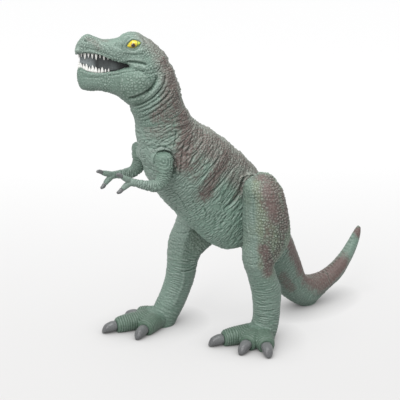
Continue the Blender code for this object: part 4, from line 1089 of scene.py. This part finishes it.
def teeth(name, upper, count, base_mm, height_mm, node):
    """Row of pointed teeth on a low band that sits inside the lip."""
    low = math.radians(14)
    path = np.array([mouth_plan(a, SEAT_GAP + 0.0009) for a in np.linspace(low, math.pi - low, 240)])
    length = np.concatenate([[0], np.cumsum(np.linalg.norm(np.diff(path, axis=0), axis=1))])
    down = -1 if upper else 1
    forms = []

    def spot(distance, level, outward=0.0):
        here = [np.interp(distance, length, path[:, i]) for i in (0, 1)]
        there = [np.interp(distance + 0.0004, length, path[:, i]) for i in (0, 1)]
        run = unit([b - a + 1e-9 for a, b in zip(here, there)])
        forward, side = here
        root = mouth_rise(forward, upper) + down * (SEAT_GAP * 2 + level)
        forward, side = forward + run[1] * outward, side - run[0] * outward
        place = head_point(forward / HEAD_LENGTH, root / HEAD_RISE, HEAD_TURN, side)
        along = FACE_AHEAD * run[0] + FACE_RIGHT * run[1]
        return place, along

    band = []
    for distance in np.linspace(0, length[-1] - 0.0005, 90):
        top, along = spot(distance, 0.0)
        bottom, _ = spot(distance, BAND_HEIGHT)
        band.append(section(top, bottom, unit(np.cross(along, UP)), BAND_HALF, 4, 4))
    forms.append(loft(band, 12, 1))
    for i in range(count):
        distance = length[-1] * (i + 0.5) / count
        front = 1 - abs(2 * (i + 0.5) / count - 1)
        size = (0.55 + 0.45 * min(2.2 * front, 1)) * (1 + 0.15 * math.sin(i * 2.4))
        rows = []
        for share, width in ((0.0, 1.0), (0.35, 0.88), (0.65, 0.64), (0.88, 0.33), (1.0, 0.06)):
            place, along = spot(distance, 0.0012 + share * height_mm * MM * size, 0.0003 * math.sin(math.pi * share))
            half = base_mm * MM / 2 * width * size
            across = unit(np.cross(along, UP))
            rows.append(section(place + along * half, place - along * half, across, min(half, 0.0009 * width + 0.0001)))
        forms.append(loft(rows, 12, 3))
    mesh = new_mesh(name, forms)
    co = points_of(mesh)
    rise = co[:, 2] - HEAD_PIVOT[2]
    forward = (co - HEAD_PIVOT) @ FACE_AHEAD
    root = np.array([mouth_rise(f, upper) for f in forward])
    depth = (rise - root) * down / MM
    # Teeth fade to grey towards the root, next to the lip: a painted shade
    painted(mesh, mix(ROOT_SHADE_GREY, WHITE, ease(depth, 2.2, 4.4)))
    piece(name, mesh, TOOTH_MATERIAL, "head", "tooth", node)


def eye(word, side):
    """Glossy eye with a dark pupil."""
    half = np.array(EYE_SIZE) / 2
    rows, segments = 40, 64
    points = []
    for i in range(rows + 1):
        polar = math.pi * i / rows
        for k in range(segments):
            turn = 2 * math.pi * k / segments
            points.append((math.sin(polar) * math.cos(turn), math.sin(polar) * math.sin(turn), math.cos(polar)))
    points = np.array(points)
    flat = np.hypot(points[:, 0], points[:, 1])
    corner = (np.abs(points[:, 0]) ** EYE_POWER + np.abs(points[:, 1]) ** EYE_POWER) ** (1 / EYE_POWER)
    points[:, 0:2] *= (flat / np.maximum(corner, 1e-9))[:, None]
    centre = HEAD_PIVOT + FACE_AHEAD * EYE_AHEAD + UP * EYE_RISE + FACE_RIGHT * (side * EYE_SIDE)
    look = points[:, 2]
    across = points[:, 0]
    lift = points[:, 1] * np.where(points[:, 1] < 0, *EYE_OPENING)
    across, lift = across * half[0], lift * half[1]
    across, lift = (across * math.cos(EYE_TILT) + lift * math.sin(EYE_TILT),
                    lift * math.cos(EYE_TILT) - across * math.sin(EYE_TILT))
    place = (centre + FACE_AHEAD * across[:, None] + UP * lift[:, None]
             + FACE_RIGHT * (side * look * half[2])[:, None])
    mesh = bpy.data.meshes.new(word + "_eye_ball")
    mesh.from_pydata(place.tolist(), [], bands(rows + 1, segments))
    outwards(mesh, 1e-6)
    co = points_of(mesh)
    offset = co - centre
    a = offset @ FACE_AHEAD / MM
    b = offset[:, 2] / MM
    pupil = np.hypot(a, b)
    tone = mix(YELLOW, LIME, ease(-a, 2.8, 4.6))
    # A dark line on the eye, between the yellow and the lime rear corner
    tone = mix(tone, SHADE_AND_LINE_DARK, 0.6 * ease(-a, 3.2, 3.6) * (1 - ease(-a, 4.0, 4.4)))
    tone = mix(tone, IRIS, 0.75 * (1 - ease(pupil, 1.9, 2.7)))
    tone = mix(tone, PUPIL, 1 - ease(pupil, 1.5, 1.95))
    painted(mesh, tone)
    piece(word + "_eye_ball", mesh, EYE_MATERIAL, "head", "eye", word + "_eye")


def claw_mesh(name, rows, length_axis, base, length, segments=32):
    """Horn-shaped claw, darker at its tip, with faint pale flecks."""
    mesh = new_mesh(name, [loft(rows, segments, 8)])
    co = points_of(mesh)
    share = (co - base) @ length_axis / length
    p = co / MM
    tone = mix(CLAW, CLAW_TIP, ease(share, 0.3, 1.0) * 0.8)
    # Faint pale flecks at random
    tone = mix(tone, HIGHLIGHT_AND_FLECK, 0.12 * np.clip(noise(p, 1.2, 91), 0, 1))
    painted(mesh, tone)
    return mesh


# Arms
def arm(word, side, swivel):
    """Bent arm with two clawed fingers."""
    def spot(forward, rise, outward):
        turned = forward * math.cos(swivel) - rise * math.sin(swivel)
        turned_rise = forward * math.sin(swivel) + rise * math.cos(swivel)
        return SHOULDER + np.array((-turned, side * (SHOULDER_PLANE + ARM_OUTWARD + outward), turned_rise))

    points = [spot(a * ARM_REACH, r * ARM_DROP, o * ELBOW_OUTWARD) for a, r, o, _ in ARM_ROWS]
    rows = tube(points, [row[-1] * ARM_RADIUS for row in ARM_ROWS], ACROSS)
    forms = [loft(rows, 48, 10)]
    palm = (ARM_ROWS[-1][0] * ARM_REACH, ARM_ROWS[-1][1] * ARM_DROP, ARM_ROWS[-1][2] * ELBOW_OUTWARD)
    for finger, lean in (("upper", 1), ("lower", -1)):
        path = [spot(palm[0] + reach * FINGER_REACH, palm[1] + lean * spread * FINGER_SPREAD, palm[2])
                for reach, spread, _ in FINGER_ROWS]
        forms.append(loft(tube(path, [r * FINGER_RADIUS for _, _, r in FINGER_ROWS], ACROSS), 32, 8))
        run = unit(path[-1] - path[-2])
        hook = np.cross(run, ACROSS) * -lean
        claw = [path[-1] + run * (SEAT_GAP + reach * HAND_CLAW_LENGTH) + hook * (bend * HAND_CLAW_LENGTH)
                for reach, bend, _ in HAND_CLAW_ROWS]
        claw_rows = tube(claw, [r * FINGER_RADIUS for _, _, r in HAND_CLAW_ROWS], ACROSS)
        node = f"{word}_hand_{finger}_claw"
        mesh = claw_mesh(node + "_horn", claw_rows, run, path[-1], HAND_CLAW_LENGTH, 20)
        piece(node + "_horn", mesh, CLAW_MATERIAL, word + "_arm", "claw", node)
    skin = Skin(word + "_arm_skin", forms, [], voxel(0.36), rows)
    skin.relax(2)
    plane = SHOULDER_PLANE + SEAT_GAP
    skin.co[:, 1] = side * np.maximum(skin.co[:, 1] * side, plane)
    skin.settle()
    p = skin.base / MM
    skin.lift += rings(skin, 2.2, 9.0, 41) * 0.7 + pebbles(p, 1.8, 43) * 0.25
    from_knob = np.hypot(skin.base[:, 0] - SHOULDER[0] + 0.0045, 0.75 * (skin.base[:, 2] - SHOULDER[2] - 0.0015)) / MM
    knob = 1 - ease(from_knob, 7.0, 9.5)
    skin.lift = skin.lift * (1 - 0.5 * knob) + knob * (0.9 + 0.25 * np.cos(2 * math.pi * from_knob / 2.7))
    skin.lift += 0.2 * ease(skin.along, 8, 16)
    outer = skin.base[:, 1] * side - plane
    skin.lift *= ease(outer / MM, 0.2, 1.8)
    tips = ease(skin.along, 0, 1) * (1 - 0.75 * ease(skin.along, 50, 62))
    skin.lift *= np.clip(tips, 0.2, 1)
    skin.finish_relief()
    skin_paint(skin, pale=0.4 * ease(skin.along, 25, 45), moss=0.3 * (1 - ease(skin.along, 25, 45)))
    piece(word + "_arm_skin", skin.mesh, SKIN_MATERIAL, word + "_arm", "skin", word + "_arm")


# Legs
LEFT_LEG_STROKES = (
    (1.6, 0.5, 247, 182, 246, 196, 246.5, 212, 248, 228, 250, 242),
    (1.3, -0.6, 258, 184, 254, 196, 252.5, 210, 254, 226),
    (1.6, -0.6, 266, 240, 262, 252, 258, 262),
    (1.5, -0.8, 281, 246, 274, 256, 266, 263),
    (0.9, -0.5, 243, 256, 250, 258, 258, 257),
    (0.9, -0.5, 244, 262, 252, 264.5, 261, 263),
    (0.9, -0.7, 256, 303, 264, 305, 273, 303),
    (0.9, -0.9, 256, 309, 265, 311.5, 275, 309),
    (0.9, -0.6, 255, 315, 263, 317, 271, 316),
)
LEFT_LEG_STAINS = (
    (9.0, 0.85, 262, 176, 270, 180, 277, 188),
    (11.0, 1.0, 270, 190, 273, 203, 277, 217),
    (9.0, 0.95, 284, 195, 287, 212, 285, 226),
    (6.5, 1.0, 265, 249, 268, 260, 269, 272),
    (5.0, 0.6, 282, 236, 280, 246, 276, 256),
    (5.0, 0.5, 268, 225, 269, 238, 267, 250),
)
LEFT_LEG_TINTS = (
    (6.0, 0.75, 256, 182, 260, 198, 262, 215, 261, 232),
    (5.0, 0.55, 262, 236, 263, 252, 263, 266),
    (9.0, 0.75, 268, 224, 274, 238, 277, 250),
    (6.0, 0.5, 255, 166, 262, 170, 270, 175),
)
RIGHT_LEG_STROKES = (
    (2.0, 0.7, 184, 268, 183, 282, 178, 296, 172, 308),
    (0.9, -0.7, 176, 232, 184, 233, 192, 231),
    (1.6, -0.8, 186, 224, 196, 231, 206, 238),
)


TOE_MOSS = {"left": 1.0, "right": 0.75}


def toe_heading(turn):
    """Floor direction of a toe."""
    return ahead(-math.radians(turn))


def leg(word, side, table, ahead_scale, strokes, stains, tints):
    """Leg with ringed shin, scaly thigh and ridged toes."""
    rows = []
    for front_rise, back_rise, forward, depth, width, offset in table:
        x, y = HIP_X - forward * ahead_scale, side * offset * LEG_OFFSET
        front = np.array((x - depth * LEG_DEPTH / 2, y, front_rise * HIP_HEIGHT))
        back = np.array((x + depth * LEG_DEPTH / 2, y, back_rise * HIP_HEIGHT))
        rows.append(section(front, back, ACROSS, width * LEG_WIDTH / 2))
    forms = [loft(rows, 72, 8)]
    ankle = np.array(((rows[-1][0] + rows[-1][3]) / 2, rows[-1][1], 0.0))
    for toe, turn, share in TOES[word]:
        heading = toe_heading(turn)
        across = np.cross(UP, heading)
        length = share * TOE_LENGTH
        toe_rows = []
        for distance, top, width in TOE_ROWS:
            place = ankle + heading * (distance * length)
            top = place + UP * (top * FOOT_HEIGHT)
            toe_rows.append(section(top, place - UP * SOLE_CUT, across, width * TOE_WIDTH / 2))
        forms.append(loft(toe_rows, 48, 6))
        claw_rows = []
        for distance, top, bottom, width in TOE_CLAW_ROWS:
            place = ankle + heading * (length + SEAT_GAP + distance * TOE_CLAW_LENGTH)
            claw_rows.append(section(place + UP * (top * FOOT_HEIGHT), place + UP * (bottom * FOOT_HEIGHT), across,
                                     width * TOE_WIDTH / 2))
        node = f"{word}_{toe}_toe_claw"
        mesh = claw_mesh(node + "_horn", claw_rows, heading, ankle + heading * length, TOE_CLAW_LENGTH)
        piece(node + "_horn", mesh, CLAW_MATERIAL, word + "_leg", "claw", node)
    skin = Skin(word + "_leg_skin", forms, [], voxel(0.62), rows)
    skin.relax(5)
    plane = HIP_PLANE + SEAT_GAP
    high = skin.co[:, 2] > HIP_HEIGHT * 0.4
    skin.co[:, 1] = np.where(high, side * np.maximum(skin.co[:, 1] * side, plane), skin.co[:, 1])
    skin.settle()
    p = skin.base / MM
    z = skin.base[:, 2] / MM
    thigh = ease(z, 62, 92)
    rear = ease(skin.base[:, 0] / MM, np.interp(z, [60, 150], [-18, -10]), np.interp(z, [60, 150], [-6, 2]))
    rear = rear if word == "left" else ease(skin.base[:, 0] / MM, -24, -10)
    calm = ease(layered(p, 24.0, 49), -0.3, 0.25)
    skin.lift += rings(skin, 2.7, 17.0, 51, 0.5) * (0.62 - 0.3 * calm) * (1 - 0.3 * thigh)
    tint = skin.patches(tints)
    skin.lift += pebbles(p, 3.1, 53) * (0.1 + 0.6 * thigh * rear + 0.2 * thigh + 0.5 * tint)
    skin.lift += 0.35 * layered(p, 12.0, 55)
    toes = np.zeros(len(p))
    for toe, turn, share in TOES[word]:
        heading = toe_heading(turn)
        offset = skin.base - ankle
        distance = offset @ heading / MM
        aside = offset @ np.cross(UP, heading) / MM
        length = share * TOE_LENGTH / MM
        on_toe = ease(distance, 12, 18) * (1 - ease(np.abs(aside), 9.5, 12.5)) * (1 - ease(z, 20, 26))
        ridge = np.cos(2 * math.pi * (distance + 0.8 * noise(p, 7, 57)) / 2.5)
        toes = np.maximum(toes, on_toe)
        skin.lift *= 1 - 0.8 * on_toe
        skin.lift += on_toe * (0.2 * ridge) * (1 - ease(distance, length - 2.0, length - 0.2))
    skin.carve(strokes)
    outer = np.where(high, skin.base[:, 1] * side - plane, 1.0)
    free = ease(outer / MM, 0.2, 1.8)
    skin.lift = (skin.lift * free + (1.5 * skin.lift - 0.75) * (1 - free)) * ease(z, 0.0, 1.6)
    skin.finish_relief(np.where(free < 0.5, -0.02, 9.0))
    skin.brown = skin.patches(stains)
    if word == "right":
        skin.brown = 0.8 * thigh * rear * ease(layered(p, 22.0, 59), -0.5, 0.2)
    olive = 0.45 * thigh * rear + 0.2 * thigh * ease(layered(p, 14.0, 63), -0.2, 0.5)
    moss = TOE_MOSS[word] * toes + 0.4 * (1 - ease(z, 4, 36))
    skin_paint(skin, pale=0.35 * thigh * (1 - rear), olive=np.maximum(olive, tint), moss=moss)
    piece(word + "_leg_skin", skin.mesh, SKIN_MATERIAL, word + "_leg", "skin", word + "_leg")


# Tail
TAIL_STROKES = (
    (1.3, -1.1, 290, 236, 284, 246, 278, 255),
    (1.1, -0.7, 293, 243, 287, 253, 281, 262),
    (0.6, -0.7, 327, 272, 329, 278, 331, 284),
)
TAIL_STAINS = (
    (8.5, 1.0, 288, 238, 295, 254, 301.5, 269),
    (5.5, 0.6, 282, 276, 287, 284, 292, 289),
    (12.0, 1.0, 310, 274, 317, 283, 327, 281, 335, 272, 340, 264),
    (4.8, 1.0, 361.5, 224, 361.3, 230),
)


def tail():
    """Curled tail, flat where it rests."""
    rows = [seat(TAIL_JOINT, TAIL_AXIS, TAIL_BACK, TAIL_SEAT, SKIN_GAP / 2)]
    for top_behind, top_rise, low_behind, low_rise, width, sway in TAIL_ROWS:
        y = sway * TAIL_SWAY
        top = np.array((TAIL_JOINT[0] + top_behind * TAIL_REACH, y, top_rise * TAIL_JOINT[2]))
        bottom = np.array((TAIL_JOINT[0] + low_behind * TAIL_REACH, y, low_rise * TAIL_JOINT[2]))
        rows.append(section(top, bottom, ACROSS, width * TAIL_WIDTH / 2))
    skin = Skin("tail_skin", [loft(rows, 72, 10)], [], voxel(0.56), rows, BODY_MIRROR)
    skin.relax(2)
    skin.settle()
    p = skin.base / MM
    slim = 1 - 0.6 * ease(skin.along, 110, 190)
    skin.lift += rings(skin, 2.7, 10.0, 81) * 0.45 * slim + pebbles(p, 2.3, 83) * 0.25 * slim
    skin.lift += bumps(skin, skin.across, 2.6, 2, 8, 0.35, 0.7, 5.0) * slim
    skin.carve(TAIL_STROKES)
    skin.lift -= 2.3 * ease(skin.along, 105, 135) * ease(-skin.rise, -2, 4)
    z = skin.base[:, 2] / MM
    skin.lift *= seat_mask(skin.base, TAIL_JOINT, TAIL_AXIS, 1) * ease(z, 0.0, 1.4)
    skin.finish_relief()
    skin.brown = skin.patches(TAIL_STAINS)
    skin.brown = np.maximum(skin.brown, ease(skin.rise, 6, 13) * 0.4 * slim)
    skin_paint(skin)
    piece("tail_skin", skin.mesh, SKIN_MATERIAL, "tail", "skin", "tail")


torso()
head()
teeth("upper_tooth_row", True, 18, 2.9, 7.4, "upper_teeth")
teeth("lower_tooth_row", False, 22, 3.6, 6.8, "lower_teeth")
for side, word in SIDES:
    eye(word, side)
arm("left", LEFT, 0.0)
arm("right", RIGHT, RIGHT_ARM_SWIVEL)
leg("left", LEFT, LEFT_LEG_ROWS, -LEFT_FOOT_BACK, LEFT_LEG_STROKES, LEFT_LEG_STAINS, LEFT_LEG_TINTS)
leg("right", RIGHT, RIGHT_LEG_ROWS, RIGHT_FOOT_STRIDE, RIGHT_LEG_STROKES, (), ())
tail()


def mouth_web():
    """Charcoal web and tongue behind the teeth."""
    stations = [(MOUTH_ROWS[0][0] * HEAD_LENGTH + SEAT_GAP, mouth_plan(0, WEB_INSET)[1])]
    for angle in np.radians(np.linspace(6, 82, 20)):
        stations.append(mouth_plan(angle, WEB_INSET))
    floors = [row[0] * HEAD_LENGTH for row in WEB_FLOOR_ROWS], [row[1] * HEAD_RISE for row in WEB_FLOOR_ROWS]
    rows = []
    for forward, side in stations:
        roof = mouth_rise(forward, True) - SEAT_GAP
        base = max(mouth_rise(forward, False) + SEAT_GAP, float(np.interp(forward, *floors)))
        top, bottom = (head_point(forward / HEAD_LENGTH, level / HEAD_RISE) for level in (roof, base))
        rows.append(section(top, bottom, FACE_RIGHT, side, 12, 12))
    mesh = new_mesh("mouth_web", [loft(rows, 96, 4)])
    co = points_of(mesh)
    local = co - HEAD_PIVOT
    forward = local @ FACE_AHEAD
    middle = np.array([(mouth_rise(f, True) + 1.6 * mouth_rise(f, False)) / 2.6 for f in forward])
    gap = np.abs(local[:, 2] - middle) / MM
    grey = (1 - ease(gap, 1.0, 4.5)) * ease(forward, 0.027, 0.036)
    grey = np.clip(grey + 0.25 * layered(co / MM, 5.0, 87), 0, 1)
    painted(mesh, mix(WEB_DARK, WEB_LIGHT, grey))
    piece("mouth_web", mesh, MOUTH_MATERIAL, "head", "mouth", "mouth_core")


mouth_web()

# Floor, light and camera
FLOOR_HALF = 9.0
FLOOR_FADE = (("From Min", -0.25), ("From Max", 0.9))
FLOOR_NEAR, FLOOR_FAR = (0.162, 0.158, 0.156, 1), (0.16, 0.16, 0.162, 1)
FLOOR_GLOW = (("To Min", 0.64), ("To Max", 0.86))
# Share of the floor's glow that lights other things, a painted light, and how far off a thing still darkens the glow, a
# painted contact shadow
GLOW_LIGHT_SHARE, PAINTED_SHADOW_REACH = 0.3, 0.035
WORLD_LIGHT = 0.68


def floor():
    """Pale floor that grows whiter into the distance; its glow is darkened near things on it as a painted contact
    shadow, and a share of it lights other things as a painted light.
    """
    mesh = bpy.data.meshes.new("floor")
    h = FLOOR_HALF
    mesh.from_pydata([(-h, -h, 0), (h, -h, 0), (h, h, 0), (-h, h, 0)], [], [(0, 1, 2, 3)])
    material, tree, shader, add = nodes_of("floor_paper")
    place = add("ShaderNodeTexCoord")
    away = add("ShaderNodeVectorMath", [(0, place.outputs["Object"]), (1, tuple(-Camera.back * (1, 1, 0)))],
               operation="DOT_PRODUCT")
    fade = add("ShaderNodeMapRange", [("Value", away.outputs["Value"]), *FLOOR_FADE],
               interpolation_type="SMOOTHSTEP")
    ramp = add("ShaderNodeMix", [("Factor", fade.outputs["Result"])], data_type="RGBA")
    ramp.inputs["A"].default_value = FLOOR_NEAR
    ramp.inputs["B"].default_value = FLOOR_FAR
    tree.links.new(ramp.outputs["Result"], shader.inputs["Base Color"])
    path = add("ShaderNodeLightPath")
    glow = add("ShaderNodeMapRange", [("Value", fade.outputs["Result"]), *FLOOR_GLOW])
    direct = add("ShaderNodeMath", [(0, path.outputs["Is Camera Ray"]), (1, path.outputs["Is Glossy Ray"])],
                 operation="ADD")
    # Painted contact shadow: the floor's glow is darkened near things that stand on it
    painted_contact_shadow = add("ShaderNodeAmbientOcclusion", [("Distance", PAINTED_SHADOW_REACH)])
    share = add("ShaderNodeMapRange", [("Value", direct.outputs[0]), ("To Min", GLOW_LIGHT_SHARE)])
    open_floor = add("ShaderNodeMath", [(0, share.outputs["Result"]), (1, glow.outputs["Result"])],
                     operation="MULTIPLY")
    glow_with_painted_shadow = add("ShaderNodeMath", [(0, open_floor.outputs[0]), (1, painted_contact_shadow.outputs["AO"])], operation="MULTIPLY")
    shader.inputs["Emission Color"].default_value = (1, 1, 1, 1)
    tree.links.new(glow_with_painted_shadow.outputs[0], shader.inputs["Emission Strength"])
    shader.inputs["Roughness"].default_value = 0.9
    shader.inputs["Specular IOR Level"].default_value = 0.1
    mesh.materials.append(material)
    item = placed("floor", mesh)


floor()


def area_light(name, place, target, size, power):
    """Soft square lamp."""
    data = bpy.data.lights.new(name, "AREA")
    data.shape, data.size, data.energy = "SQUARE", size, power
    item = placed(name, data)
    item.location = place
    item.rotation_euler = (Vector(target) - Vector(place)).to_track_quat("-Z", "Y").to_euler()


area_light("sky_box", (-0.30, -0.10, 1.6), (-0.03, 0, 0.1), 1.0, 14.0)
area_light("front_box", (-1.35, -0.85, 1.25), (-0.05, 0, 0.15), 0.8, 14.0)

world = bpy.data.worlds.new("studio")
bpy.context.scene.world = world
world.use_nodes = True
world.node_tree.nodes["Background"].inputs["Color"].default_value = (1, 1, 1, 1)
seen = world.node_tree.nodes.new("ShaderNodeLightPath")
sky = world.node_tree.nodes.new("ShaderNodeMapRange")
sky.inputs["To Min"].default_value, sky.inputs["To Max"].default_value = WORLD_LIGHT, 1.0
world.node_tree.links.new(seen.outputs["Is Camera Ray"], sky.inputs["Value"])
world.node_tree.links.new(sky.outputs["Result"], world.node_tree.nodes["Background"].inputs["Strength"])

lens = bpy.data.cameras.new("camera")
lens.lens, lens.sensor_width, lens.clip_end = LENS, SENSOR, 50
camera = placed("camera", lens)
axes = Matrix((Camera.right, Camera.up, Camera.back)).transposed().to_4x4()
camera.matrix_world = Matrix.Translation(Vector(Camera.place) + Vector((0, ASIDE, 0))) @ axes
bpy.context.scene.camera = camera
bpy.context.scene.view_settings.view_transform = "Standard"

bpy.context.view_layer.update()
